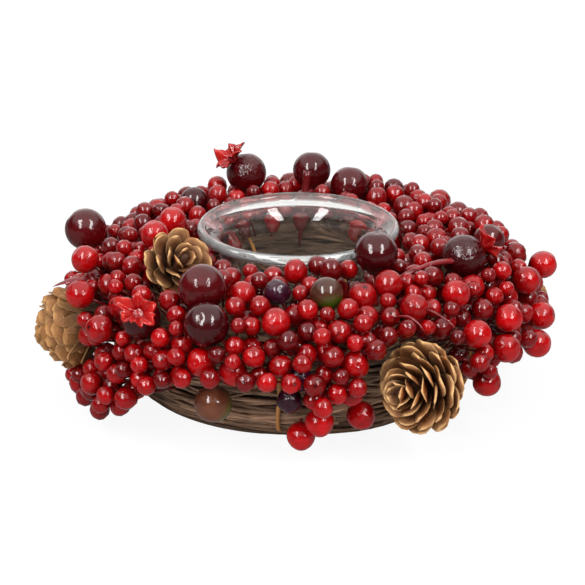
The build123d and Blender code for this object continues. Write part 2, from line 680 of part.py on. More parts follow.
def main():
    os.makedirs("parts", exist_ok=True)
    write("glass_cup", [make_cup()])
    write("vine_core", [make_core()])
    for i in range(VINE_COUNT):
        write(f"vine_{i + 1}", [make_vine(i)])
    write("rattan_ties", [make_tie(bearing) for bearing in tie_bearings()])

    groups = hero_groups()
    places = settle(groups)
    owner = np.array([i for i, (_, balls) in enumerate(groups) for _ in balls])
    offsets = np.array([offset for _, balls in groups for offset, _ in balls])
    ball_radii = np.array([radius for _, balls in groups for _, radius in balls])
    ball_points = places[owner] + offsets

    crown = make_crown()
    for i, (name, diameter, _, _, _, crown_way) in enumerate(FRUITS):
        write(name, [Pos(*places[i]) * Sphere(diameter / 2)])
        if crown_way:
            foot = places[i] + unit(crown_way) * (diameter / 2 + SEAT_GAP)
            turned = Plane(Vector(*foot), z_dir=Vector(*crown_way))
            write(f"{name}_crown", [turned * crown])
    for (name, length, width, _, _, _, tip), place in zip(CONES, places[len(FRUITS):]):
        stalk = place - unit(tip) * length / 2
        write(name, [Plane(Vector(*stalk), z_dir=Vector(*tip)) * make_cone(length, width)])

    points, radii = pile_berries(ball_points, ball_radii, BERRY_SIZES, BERRY_TRIES, 1)
    points, radii = pile_berries(points, radii, SMALL_SIZES, SMALL_TRIES, SMALL_STANDOFF_SHARE)
    pile_points = points[len(ball_points):]
    pile_radii = radii[len(ball_radii):]

    rods, stems = [], []
    held = [(place, diameter / 2, None) for place, (_, diameter, *_) in zip(places, FRUITS)]
    for place, (_, length, *_, tip) in zip(places[len(FRUITS):], CONES):
        held.append((place - unit(tip) * length / 2, 0, -unit(tip)))
    for i, (start, radius, facing) in enumerate(held):
        others = owner != i
        found = find_rod(
            start,
            radius,
            STEM_D / 2,
            np.vstack([ball_points[others], pile_points]),
            np.concatenate([ball_radii[others], pile_radii]),
            rods,
            facing,
        )
        if found:
            rods.append((*found, STEM_D / 2))
            stems.append(make_rod(*found, STEM_D))
    print("stems", len(stems), "of", len(held))

    first_bright = len(FRUITS) + len(CONES)
    first_sloe = first_bright + len(set_berries())
    placed = places[first_bright:first_sloe]
    sloes = places[first_sloe:]
    write("sloes", [Pos(*place) * Sphere(SLOE_D / 2) for place in sloes])
    berries = [(place, diameter / 2) for place, (diameter, *_) in zip(placed, set_berries())]
    berries += list(zip(pile_points, pile_radii))
    on_wires = berries + [(place, SLOE_D / 2) for place in sloes]
    wired = 0
    picks = [([], []) for _ in range(PICK_COUNT)]
    for i, (centre, radius) in enumerate(on_wires):
        balls, wires = picks[int((bearing_of(centre) + 180) / 360 * PICK_COUNT) % PICK_COUNT]
        if i < len(berries):
            balls.append(Pos(*centre) * Sphere(radius))
        found = find_rod(centre, radius, WIRE_D / 2, points, radii, rods)
        if found:
            wired += 1
            rods.append((*found, WIRE_D / 2))
            wires.append(make_rod(*found, WIRE_D))
    print("berries", len(berries), "wires", wired, "of", len(on_wires))
    write("stems", stems)
    for i, (balls, wires) in enumerate(picks):
        write(f"berry_pick_{i + 1:02d}", balls)
        write(f"wire_pick_{i + 1:02d}", wires)


main()
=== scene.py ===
"""Candle ring: a flared glass cup standing in a wreath of wound vine canes.

The wreath is dressed with lacquered berries on wires, dark fruits on stems and conifer cones.
Everything is in metres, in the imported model's frame: the cup's foot stands on the origin, +Z is up
and the side that the photograph shows looks towards -Y.
"""

from __future__ import annotations

import logging
import math
from collections.abc import Callable
from dataclasses import dataclass, replace
from enum import Enum
from functools import partial

import bpy
import numpy as np
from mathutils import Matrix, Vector

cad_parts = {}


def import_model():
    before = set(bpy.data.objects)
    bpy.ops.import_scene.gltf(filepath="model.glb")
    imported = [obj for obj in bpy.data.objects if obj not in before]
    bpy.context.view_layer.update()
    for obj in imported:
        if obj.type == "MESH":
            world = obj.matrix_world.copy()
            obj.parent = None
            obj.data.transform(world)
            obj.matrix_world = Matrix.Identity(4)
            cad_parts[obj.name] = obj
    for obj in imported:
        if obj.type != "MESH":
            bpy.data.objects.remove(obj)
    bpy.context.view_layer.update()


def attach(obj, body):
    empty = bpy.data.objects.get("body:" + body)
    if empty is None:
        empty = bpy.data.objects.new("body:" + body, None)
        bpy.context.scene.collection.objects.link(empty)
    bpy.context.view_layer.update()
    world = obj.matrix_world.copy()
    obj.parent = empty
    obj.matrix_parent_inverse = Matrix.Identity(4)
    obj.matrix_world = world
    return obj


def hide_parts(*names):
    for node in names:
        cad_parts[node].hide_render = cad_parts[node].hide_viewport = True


LOG = logging.getLogger("candle_ring")
MM = 0.001
GOLDEN_ANGLE = math.radians(137.508)
RIGHT, BACK, UP = np.eye(3)
Array = np.ndarray
Random = np.random.Generator
Pair = tuple[float, float]
Triple = tuple[float, float, float]
AddNode = Callable[..., bpy.types.Node]


class Body(Enum):
    """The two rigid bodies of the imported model."""

    WREATH = "wreath"
    CUP = "cup"


# Arrays and surfaces


def unit(vectors: Array) -> Array:
    """Vectors at length 1, along the last axis."""
    vectors = np.asarray(vectors, float)
    return vectors / np.linalg.norm(vectors, axis=-1, keepdims=True)


def cross_frame(axes: Array) -> tuple[Array, Array]:
    """Two unit vectors square to each axis, by cross products with a helper that isn't along it.

    Args:
        axes: Unit vectors, (n, 3).

    Returns:
        A side and an up for each axis, right-handed with it.
    """
    helper = np.where(np.abs(axes[:, 2:]) < 0.9, UP, RIGHT)
    side = unit(np.cross(helper, axes))
    return side, np.cross(axes, side)


def full_turn(count: int) -> Array:
    """Angles that are spread evenly round a circle."""
    return np.linspace(0, 2 * np.pi, count, endpoint=False)


def spokes(turn: Array, side: Array, up: Array) -> Array:
    """Vectors at angles from side towards up."""
    return np.cos(turn)[..., None] * side + np.sin(turn)[..., None] * up


def between(ends: Pair, share: Array) -> Array:
    """Values that run in a straight line from one end to the other."""
    return ends[0] + (ends[1] - ends[0]) * share


def beside(*values: Array | float) -> Array:
    """Values side by side along a new last axis, each spread over the shape of them all."""
    return np.stack(np.broadcast_arrays(*values), axis=-1)


@dataclass
class Surface:
    """Points and faces of a mesh that is being worked out.

    tint holds three values from 0 to 1 at each point, for the finish's colours, and grain holds a
    place on the piece's own surface, for patterns that follow it.
    """

    points: Array
    quads: Array
    tris: Array
    tint: Array
    grain: Array


def join(surfaces: list[Surface]) -> Surface:
    """Puts several surfaces into one, with their faces renumbered.

    Args:
        surfaces: The surfaces, in order.

    Returns:
        One surface with all of them.
    """
    starts = np.cumsum([0] + [len(s.points) for s in surfaces[:-1]])
    return Surface(
        np.vstack([s.points for s in surfaces]),
        np.vstack([s.quads + start for s, start in zip(surfaces, starts)]),
        np.vstack([s.tris + start for s, start in zip(surfaces, starts)]),
        np.vstack([s.tint for s in surfaces]),
        np.vstack([s.grain for s in surfaces]),
    )


def closed_shells(
    rings: Array, first: Array, last: Array, tint: Array | None = None, grain: Array | None = None
) -> Surface:
    """Skins rings of points into closed shells, with one point at either end of each.

    Rings run anticlockwise about the way from first to last, so that faces point outwards.

    Args:
        rings: Points, (shells, rings, points of a ring, 3).
        first: End point before the first ring, (shells, 3).
        last: End point after the last ring, (shells, 3).
        tint: Values for each shell (shells, 3), or for each of its points.
        grain: Places for each ring point, shaped as rings; ends take their ring's middle.

    Returns:
        One surface with all the shells.
    """
    count, rows, cols, _ = rings.shape
    size = rows * cols + 2
    points = np.concatenate([rings.reshape(count, -1, 3), first[:, None], last[:, None]], axis=1)
    index = np.arange(rows * cols).reshape(rows, cols)
    after = np.roll(index, -1, axis=1)
    quads = beside(index[:-1], after[:-1], after[1:], index[1:]).reshape(-1, 4)
    low = beside(size - 2, after[0], index[0])
    high = beside(size - 1, index[-1], after[-1])
    shift = size * np.arange(count)[:, None, None]
    if tint is None:
        tint = np.zeros((count, 3))
    if tint.ndim == 2:
        tint = np.repeat(tint[:, None], size, axis=1)
    if grain is None:
        grain = np.zeros_like(rings)
    ends = grain[:, [0, -1]].mean(axis=2)
    grain = np.concatenate([grain.reshape(count, -1, 3), ends], axis=1)
    return Surface(
        points.reshape(-1, 3),
        (quads[None] + shift).reshape(-1, 4),
        (np.vstack([low, high])[None] + shift).reshape(-1, 3),
        tint.reshape(-1, 3),
        grain.reshape(-1, 3),
    )


def tubes(
    paths: Array,
    radii: Array,
    sides: int,
    normals: Array | None = None,
    tint: Array | None = None,
    flatness: float = 1.0,
) -> Surface:
    """Round or flattened rods along paths: a circle carried square to each path.

    Args:
        paths: Points of each path, (rods, points, 3).
        radii: Radius at each point, (rods, points).
        sides: Points round each rod.
        normals: A direction at each point that the section keeps to, or None for any.
        tint: Values for each rod, (rods, 3).
        flatness: Thickness along the normals as a share of the width.

    Returns:
        The rods as closed shells, with grain round and along each of them.
    """
    ways = unit(np.gradient(paths, axis=1))
    if normals is None:
        side, _ = cross_frame(ways.reshape(-1, 3))
        normals = np.repeat(side.reshape(ways.shape)[:, :1], paths.shape[1], axis=1)
    across = unit(np.cross(ways, normals))
    normals = np.cross(across, ways)
    turn = full_turn(sides)
    out = spokes(turn, flatness * normals[:, :, None], across[:, :, None])
    rings = paths[:, :, None] + radii[:, :, None, None] * out
    along = np.cumsum(np.linalg.norm(np.diff(paths, axis=1, prepend=paths[:, :1]), axis=2), axis=1)
    grain = beside(np.cos(turn), np.sin(turn), along[:, :, None])
    return closed_shells(rings, paths[:, 0], paths[:, -1], tint, grain)


def mesh_piece(
    name: str,
    surface: Surface,
    material: bpy.types.Material,
    slot: str,
    *nodes: str,
    body: Body = Body.WREATH,
) -> bpy.types.Object:
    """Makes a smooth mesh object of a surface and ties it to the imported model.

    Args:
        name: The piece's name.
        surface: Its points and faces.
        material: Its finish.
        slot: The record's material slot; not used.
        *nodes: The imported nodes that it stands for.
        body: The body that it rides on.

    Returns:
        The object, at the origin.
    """
    mesh = bpy.data.meshes.new(name)
    mesh.from_pydata(surface.points, [], surface.quads.tolist() + surface.tris.tolist())
    for title, values in (("tint", surface.tint), ("grain", surface.grain)):
        layer = mesh.attributes.new(title, "FLOAT_VECTOR", "POINT")
        layer.data.foreach_set("vector", np.ascontiguousarray(values, np.float32).ravel())
    mesh.shade_smooth()
    mesh.materials.append(material)
    piece = bpy.data.objects.new(name, mesh)
    bpy.context.collection.objects.link(piece)
    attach(piece, body.value)
    if nodes:
        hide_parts(*nodes)
    LOG.info("%s: %d points, stands for %s", name, len(surface.points), ", ".join(nodes) or "nothing")
    return piece


def mesh_arrays(node: str) -> tuple[Array, Array]:
    """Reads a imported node's mesh.

    Args:
        node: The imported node's name.

    Returns:
        Its points, (n, 3), and triangles, (m, 3).
    """
    mesh = bpy.data.objects[node].data
    points = np.empty(3 * len(mesh.vertices), np.float32)
    mesh.vertices.foreach_get("co", points)
    corners = np.empty(len(mesh.loops), np.int32)
    mesh.loops.foreach_get("vertex_index", corners)
    return points.reshape(-1, 3).astype(float), corners.reshape(-1, 3)


def islands(node: str) -> list[Array]:
    """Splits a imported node's points into its separate solids.

    Points at the same place are one. Each point takes the lowest label in its triangles, and then
    that label's own label, over and over until nothing changes.

    Args:
        node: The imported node's name.

    Returns:
        Points of each solid.
    """
    points, triangles = mesh_arrays(node)
    places, label = np.unique(np.round(points / MM, 3), axis=0, return_inverse=True)
    corners = label.ravel()[triangles]
    root = np.arange(len(places))
    while True:
        lowest = root.copy()
        np.minimum.at(lowest, corners.ravel(), np.repeat(root[corners].min(axis=1), 3))
        lowest = lowest[lowest]
        if (lowest == root).all():
            break
        root = lowest
    order = np.argsort(root, kind="stable")
    cuts = np.flatnonzero(np.diff(root[order])) + 1
    return [places[group] * MM for group in np.split(order, cuts)]


def ball_fit(solids: list[Array]) -> tuple[Array, Array]:
    """Fits a ball to each solid: the middle of its box, and half of the box's longest side.

    Args:
        solids: Points of each ball-shaped solid.

    Returns:
        Centres, (n, 3), and radii, (n).
    """
    low = np.array([s.min(axis=0) for s in solids])
    high = np.array([s.max(axis=0) for s in solids])
    return (low + high) / 2, (high - low).max(axis=1) / 2


def rod_fit(solids: list[Array]) -> tuple[Array, Array]:
    """Fits a straight rod to each solid, along the main direction of its points.

    Args:
        solids: Points of each rod.

    Returns:
        One end of each rod, (n, 3), and the other.
    """
    starts, ends = [], []
    for points in solids:
        middle = (points.min(axis=0) + points.max(axis=0)) / 2
        way = np.linalg.svd(points - points.mean(axis=0), full_matrices=False)[2][0]
        reach = (points - middle) @ way
        starts.append(middle + way * reach.min())
        ends.append(middle + way * reach.max())
    return np.array(starts), np.array(ends)


# Finishes

# A Mix node's factor and two colours go by number, because its sockets share their names
FACTOR = 0
COLOUR_A = 6
COLOUR_B = 7
MAPPED_SPAN = ("From Min", "From Max")


def hex_linear(code: str) -> tuple[float, float, float, float]:
    """Turns an sRGB hex colour into a linear one, by the sRGB curve.

    Args:
        code: The colour as #rrggbb.

    Returns:
        Red, green, blue and an alpha of 1.
    """
    parts = [int(code[i : i + 2], 16) / 255 for i in (1, 3, 5)]
    linear = [p / 12.92 if p <= 0.04045 else ((p + 0.055) / 1.055) ** 2.4 for p in parts]
    return (*linear, 1.0)


def add_node(
    tree: bpy.types.NodeTree,
    kind: str,
    values: dict | None = None,
    links: dict | None = None,
    stops: tuple[tuple[float, str], ...] = (),
    **settings: object,
) -> bpy.types.Node:
    """Adds a node with its settings, socket values and links.

    Args:
        tree: The material's or world's node tree.
        kind: The node's class name, without its ShaderNode prefix.
        values: Input socket's name or number to its value.
        links: Input socket's name or number to the output that feeds it, or the node whose first one does.
        stops: A colour ramp's places and hex colours.
        **settings: The node's own properties.

    Returns:
        The node.
    """
    node = tree.nodes.new("ShaderNode" + kind)
    for key, value in settings.items():
        setattr(node, key, value)
    for key, value in (values or {}).items():
        node.inputs[key].default_value = value
    for key, source in (links or {}).items():
        if isinstance(source, bpy.types.Node):
            source = next(output for output in source.outputs if output.enabled)
        tree.links.new(source, node.inputs[key])
    for place, _ in stops[2:]:
        node.color_ramp.elements.new(place)
    for i, (place, code) in enumerate(stops):
        node.color_ramp.elements[i].position = place
        node.color_ramp.elements[i].color = hex_linear(code)
    return node


def new_material(name: str) -> tuple[bpy.types.Material, AddNode]:
    """Makes an empty node material.

    Args:
        name: The material's name.

    Returns:
        The material, and add_node for its tree.
    """
    material = bpy.data.materials.new(name)
    material.use_nodes = True
    material.node_tree.nodes.clear()
    return material, partial(add_node, material.node_tree)


@dataclass(frozen=True)
class Lacquer:
    """Dyed foam berry or fruit, dipped in thick clear lacquer.

    The lacquer gives a sharp coat over a softer dyed skin, and puddles and wrinkles as it dries. It
    is dyed too, so that a berry deepens towards its edge, where the eye looks through more of it.
    """

    name: str
    tones: tuple[tuple[float, str], ...]
    stem_end: str
    blossom_end: str
    lacquer: str
    stem_reach: Pair = (0.60, 0.97)
    blossom_reach: Pair = (0.07, 0.02)
    skin_roughness: float = 0.34
    blotch_mm: float = 5.0
    blotch_edge: Pair = (0.42, 0.72)
    blotch_depth: float = 0.45
    wrinkle_mm: float = 2.6
    wrinkle: float = 0.6
    relief_mm: float = 0.5
    dotted: float = 0.12

    def material(self) -> bpy.types.Material:
        """Builds the material: tone by piece, ends by place along it, blotches and wrinkles.

        Returns:
            The material.
        """
        material, node = new_material(self.name)
        tint = node("Attribute", attribute_name="tint").outputs["Vector"]
        parts = node("SeparateXYZ", links={0: tint}).outputs
        place = node("TexCoord").outputs["Object"]
        colour = node("ValToRGB", links={0: parts["X"]}, stops=self.tones)
        spread = {"Scale": 1 / (self.blotch_mm * MM), "Detail": 3.0, "Roughness": 0.55}
        blotch = node("TexNoise", spread, {"Vector": place})
        depth = dict(zip(MAPPED_SPAN, self.blotch_edge)) | {"To Max": self.blotch_depth}
        blotched = node("MapRange", depth, {"Value": blotch})
        along = {"Value": parts["Y"]}
        stem = dict(zip(MAPPED_SPAN, self.stem_reach))
        near_stem = node("MapRange", stem, along, interpolation_type="SMOOTHSTEP")
        near_blossom = node("MapRange", dict(zip(MAPPED_SPAN, self.blossom_reach)), along)
        some = node("Math", {1: self.dotted}, {0: parts["Z"]}, operation="LESS_THAN")
        dot = node("Math", links={0: near_blossom, 1: some}, operation="MULTIPLY")
        darkest = self.tones[0][1]
        for share, code in ((blotched, darkest), (near_stem, self.stem_end), (dot, self.blossom_end)):
            mixed = {FACTOR: share, COLOUR_A: colour}
            colour = node("Mix", {COLOUR_B: hex_linear(code)}, mixed, data_type="RGBA")
        waves = {"Scale": 1 / (self.wrinkle_mm * MM), "Detail": 3.0, "Distortion": 0.8}
        puddle = node("TexNoise", waves, {"Vector": place})
        bump = node("Bump", {"Strength": self.wrinkle, "Distance": self.relief_mm * MM}, {"Height": puddle})
        dyed = {"Roughness": self.skin_roughness, "IOR": 1.5, "Specular IOR Level": 0.12}
        coat = {"Coat Weight": 1.0, "Coat Roughness": 0.02, "Coat IOR": 1.5}
        coat["Coat Tint"] = hex_linear(self.lacquer)
        drawn = {"Base Color": colour, "Normal": bump, "Coat Normal": bump}
        skin = node("BsdfPrincipled", dyed | coat, drawn)
        node("OutputMaterial", links={"Surface": skin})
        return material


@dataclass(frozen=True)
class DryPlant:
    """Dry bark, rattan or cone scale: matt, streaked along its growth, with its edge colour mixed in as a
    painted highlight where the tint asks.

    Real fibres are a tenth of a millimetre wide, too fine to show, so streaks are drawn coarser.
    """

    name: str
    tones: tuple[str, str, str]
    streak_mm: float
    stretch: float = 1.0
    roughness: float = 0.78
    relief_mm: float = 0.35
    # Colour of the painted edge highlight; empty takes the lightest tone.
    edge: str = ""
    deepest: float = 0.55
    brightest: float = 1.25
    on_grain: bool = True
    scale_round: float = 2.2
    piece_shift: Triple = (37.0, 0.0, 53.0)
    tone_places: Triple = (0.30, 0.52, 0.74)

    def material(self) -> bpy.types.Material:
        """Builds the material: streaks on the piece's own grain, tone by piece with any painted shade in
        it, painted edge highlights.

        Returns:
            The material.
        """
        material, node = new_material(self.name)
        tint = node("Attribute", attribute_name="tint").outputs["Vector"]
        parts = node("SeparateXYZ", links={0: tint}).outputs
        if self.on_grain:
            place = node("Attribute", attribute_name="grain").outputs["Vector"]
            scale = (self.scale_round, self.scale_round, 1 / (self.streak_mm * MM * self.stretch))
        else:
            place = node("TexCoord").outputs["Object"]
            scale = (1 / (self.streak_mm * MM),) * 3
        placed = node("Mapping", {"Scale": scale}, {"Vector": place})
        shift = {0: tint, 2: placed}
        shifted = node("VectorMath", {1: self.piece_shift}, shift, operation="MULTIPLY_ADD")
        streak = node("TexNoise", {"Scale": 1.0, "Detail": 6.0, "Roughness": 0.62}, {"Vector": shifted})
        colour = node("ValToRGB", links={0: streak}, stops=tuple(zip(self.tone_places, self.tones)))
        toned = node("MapRange", {"To Min": self.deepest, "To Max": self.brightest}, {"Value": parts["X"]})
        both = {COLOUR_A: colour, COLOUR_B: toned}
        shaded = node("Mix", {FACTOR: 1.0}, both, data_type="RGBA", blend_type="MULTIPLY")
        # The tint's third value mixes in the edge colour as a painted highlight.
        pale = {COLOUR_B: hex_linear(self.edge or self.tones[2])}
        edge_highlighted = node("Mix", pale, {FACTOR: parts["Z"], COLOUR_A: shaded}, data_type="RGBA")
        bump = node("Bump", {"Strength": 0.7, "Distance": self.relief_mm * MM}, {"Height": streak})
        matt = {"Roughness": self.roughness, "IOR": 1.45}
        skin = node("BsdfPrincipled", matt, {"Base Color": edge_highlighted, "Normal": bump})
        node("OutputMaterial", links={"Surface": skin})
        return material


@dataclass(frozen=True)
class PressedGlass:
    """Clear pressed soda-lime glass: smooth, with the faint pale veil that the mould leaves on it."""

    name: str
    clear: float
    colour: str = "#fafaf7"
    wave_mm: float = 18.0
    relief_mm: float = 1.0

    def material(self) -> bpy.types.Material:
        """Builds the material: a clear, smooth body with the faint waves of pressing.

        Returns:
            The material.
        """
        material, node = new_material(self.name)
        place = node("TexCoord").outputs["Object"]
        wave = node("TexNoise", {"Scale": 1 / (self.wave_mm * MM), "Detail": 1.0}, {"Vector": place})
        bump = node("Bump", {"Strength": 0.05, "Distance": self.relief_mm * MM}, {"Height": wave})
        smooth = {"Base Color": hex_linear(self.colour), "Roughness": 0.0, "IOR": 1.5}
        body = node("BsdfPrincipled", smooth | {"Transmission Weight": self.clear}, {"Normal": bump})
        node("OutputMaterial", links={"Surface": body})
        return material


# Foam berry dyed red and dipped in clear lacquer: sharp glints over a deep, uneven red.
BERRY_RED = Lacquer(
    "lacquered_red_berry",
    ((0.0, "#2a0206"), (0.25, "#5e0409"), (0.6, "#92070e"), (1.0, "#b80d14")),
    stem_end="#74030a",
    blossom_end="#260405",
    lacquer="#e4a0a2",
)
# Foam fruit dyed wine red under thick lacquer: almost black, with broad, soft-edged glints.
DARK_FRUIT = Lacquer(
    "lacquered_dark_fruit",
    ((0.0, "#290308"), (0.5, "#41060d"), (1.0, "#5c0a12")),
    stem_end="#86080f",
    blossom_end="#180204",
    lacquer="#dca8aa",
    dotted=0.0,
    blotch_mm=9.0,
    wrinkle_mm=4.5,
    wrinkle=0.5,
)
# The same fruit where the lacquer dried in wrinkles: its glints break up.
CRINKLED_FRUIT = replace(DARK_FRUIT, name="crinkled_dark_fruit", wrinkle_mm=2.4, wrinkle=1.0)
# Foam fruit sprayed brown and green at one end, lacquered thin: warm, mottled and smooth.
UNRIPE_FRUIT = Lacquer(
    "lacquered_unripe_fruit",
    ((0.0, "#321a16"), (0.5, "#4a2a20"), (1.0, "#7c4836")),
    stem_end="#3f5a16",
    stem_reach=(0.55, 0.84),
    blossom_end="#2a120a",
    lacquer="#e6dccc",
    dotted=0.0,
    blotch_mm=9.0,
    wrinkle_mm=3.0,
    wrinkle=0.12,
)
# Foam berry dyed violet, with lacquer that dried in ripples: dark, with small broken glints.
SLOE = Lacquer(
    "lacquered_sloe",
    ((0.0, "#1a0510"), (0.5, "#2c0a1a"), (1.0, "#44122c")),
    stem_end="#4e1a3a",
    blossom_end="#14060e",
    lacquer="#d8c0d0",
    wrinkle=0.9,
)
# Thin moulded calyx dipped in red lacquer: bright and lightest at its torn edge, with painted shade towards
# its neck and on its outer side.
CROWN_RED = Lacquer(
    "lacquered_crown",
    ((0.0, "#6a0509"), (0.5, "#a00c10"), (1.0, "#c2342c")),
    stem_end="#8d0608",
    blossom_end="#b81210",
    lacquer="#ecb4b0",
    wrinkle=0.5,
)
# Wrapped wire dipped in red lacquer: a dull red line with a narrow glint along it.
COATED_WIRE = Lacquer(
    "lacquer_coated_wire",
    ((0.0, "#3c0a0e"), (0.5, "#660e15"), (1.0, "#a02a30")),
    stem_end="#6d0e16",
    blossom_end="#5a0c13",
    lacquer="#e8b4b4",
    wrinkle=0.3,
)
# Soda-lime glass rolled into a bead at the rim: paler and milkier than the wall.
BEAD_GLASS = PressedGlass("pressed_glass_bead", 0.86)
# Soda-lime glass as the mould leaves it: clear under a faint veil.
MOULD_SIDE_GLASS = PressedGlass("pressed_glass_mould_side", 0.985)
# Soda-lime glass melted smooth by the flame: the clearest, with sharp reflections.
POLISHED_GLASS = PressedGlass("fire_polished_glass", 0.995)
# Dry vine with its bark on: matt grey-brown, in long light and dark streaks.
VINE_BARK = DryPlant("dry_vine_bark", ("#36251a", "#80604a", "#bf9b7a"), 1.2, 9.0, deepest=0.35)
# The same bark deep in the bundle, darkened as painted shade, and with no clear direction.
SHADED_CORE_BARK = DryPlant("packed_bark_painted_shade", ("#2a1c14", "#4a3528", "#6b5040"), 2.5, on_grain=False)
# Rattan split from the cane: smooth and honey-coloured, with long fibres.
RATTAN = DryPlant("split_rattan", ("#84501f", "#b07433", "#cf9a58"), 0.7, 14.0, roughness=0.6)
# Woody cone scale, dried open; its root is darkened as painted shade, and its pale edge is a painted
# highlight.
CONE_SCALE = DryPlant(
    "dry_cone_scale",
    ("#542408", "#944d19", "#bb7938"),
    streak_mm=0.9,
    stretch=7.0,
    roughness=0.62,
    edge="#dcae74",
    deepest=0.05,
)
# The same scale bleached by the weather: greyer, with a duller painted edge highlight.
CONE_SCALE_PALE = replace(
    CONE_SCALE,
    name="dry_pale_cone_scale",
    tones=("#5c2f0f", "#90592a", "#b67f49"),
    roughness=0.66,
    edge="#bd8d55",
    deepest=0.06,
)


# Sub-assemblies


@dataclass
class GlassCup:
    """The pressed glass cup: tapered wall, thick floor, and a mouth that opens into a round bead."""

    height: float = 71 * MM
    rim_radius: float = 42.5 * MM
    neck_radius: float = 33.5 * MM
    base_radius: float = 30 * MM
    wall: float = 3.9 * MM
    floor: float = 5 * MM
    bead_radius: float = 2.2 * MM
    neck_round: float = 5 * MM
    neck_turn: float = math.radians(75)
    bowl_round: float = 15 * MM
    bowl_turn: float = math.radians(68)
    foot_round: float = 3 * MM
    well_round: float = 5 * MM
    bead_steps: int = 24
    polished_steps: int = 6
    steps: int = 192

    def profile(self) -> tuple[Array, Array]:
        """Half section from the foot's middle, up the outside, over the bead and down to the floor.

        Returns:
            Points of the outside with the bead, and of the inside.
        """
        bead = np.array([self.rim_radius - self.bead_radius, self.height - self.bead_radius])
        roll = np.linspace(-self.neck_turn, np.pi - self.bowl_turn, self.bead_steps)
        lip = bead + self.bead_radius * beside(np.cos(roll), np.sin(roll))
        neck = self.flare(self.neck_radius, self.neck_round, self.neck_turn, lip[0])
        bowl = self.flare(self.neck_radius - self.wall, self.bowl_round, self.bowl_turn, lip[-1])
        outer = np.array([[0, 0], [self.base_radius, 0], neck[0]])
        inner = np.array([bowl[0], [self.base_radius - self.wall, self.floor], [0, self.floor]])
        outside = np.vstack([self.rounded(outer, self.foot_round), neck[1:], lip])
        inside = np.vstack([bowl[:0:-1], self.rounded(inner, self.well_round)])
        return outside, inside

    @staticmethod
    def flare(reach: float, radius: float, turn: float, end: Array) -> Array:
        """A wall that turns outwards on an arc and then runs straight to a point.

        Args:
            reach: The wall's distance from the axis.
            radius: The arc's radius.
            turn: The angle that the wall turns through.
            end: The point that it ends at, (2).

        Returns:
            Points from where the wall leaves the upright to the end of its arc.
        """
        run = (end[0] - reach - radius * (1 - math.cos(turn))) / math.sin(turn)
        foot = end[1] - radius * math.sin(turn) - run * math.cos(turn)
        part = np.linspace(0, turn, 16)
        return beside(reach + radius * (1 - np.cos(part)), foot + radius * np.sin(part))

    @staticmethod
    def rounded(corner: Array, radius: float, steps: int = 10) -> Array:
        """Two runs that meet at a corner, with the corner turned on an arc.

        Args:
            corner: Start, corner and end, (3, 2).
            radius: The arc's radius.
            steps: Points on the arc.

        Returns:
            Points along both runs and the arc.
        """
        back, ahead = unit(corner[[0, 2]] - corner[1])
        half = math.acos(np.clip(back @ ahead, -1, 1)) / 2
        centre = corner[1] + unit(back + ahead) * radius / math.sin(half)
        start = corner[1] + back * radius / math.tan(half) - centre
        end = corner[1] + ahead * radius / math.tan(half) - centre
        share = np.linspace(0, 1, steps)[:, None]
        arc = centre + radius * unit((1 - share) * start + share * end)
        first = corner[0] + np.linspace(0, 1, 6)[:-1, None] * (arc[0] - corner[0])
        second = arc[-1] + np.linspace(0, 1, 12)[1:, None] * (corner[2] - arc[-1])
        return np.vstack([first, arc, second])

    def build(self) -> None:
        """Turns the profile about the axis into the cup: pale bead, clear wall, clearest inside."""
        outside, inside = self.profile()
        profile = np.vstack([outside, inside])[1:-1]
        around = spokes(full_turn(self.steps), RIGHT, BACK)
        rings = profile[:, None, :1] * around + profile[:, None, 1:] * UP
        surface = closed_shells(rings[None], 0 * UP[None], self.floor * UP[None])
        finish = MOULD_SIDE_GLASS.material()
        cup = mesh_piece("glass_cup_pressed", surface, finish, "clear_glass", "glass_cup", body=Body.CUP)
        cup.data.materials.append(POLISHED_GLASS.material())
        cup.data.materials.append(BEAD_GLASS.material())
        row = np.arange((len(profile) - 1) * self.steps) // self.steps
        number = np.where(row >= len(outside) - self.bead_steps, 2, 0)
        number = np.where(row >= len(outside) - self.polished_steps, 1, number)
        number = np.concatenate([number, np.zeros(self.steps), np.ones(self.steps)])
        cup.data.polygons.foreach_set("material_index", number.astype(np.int32))


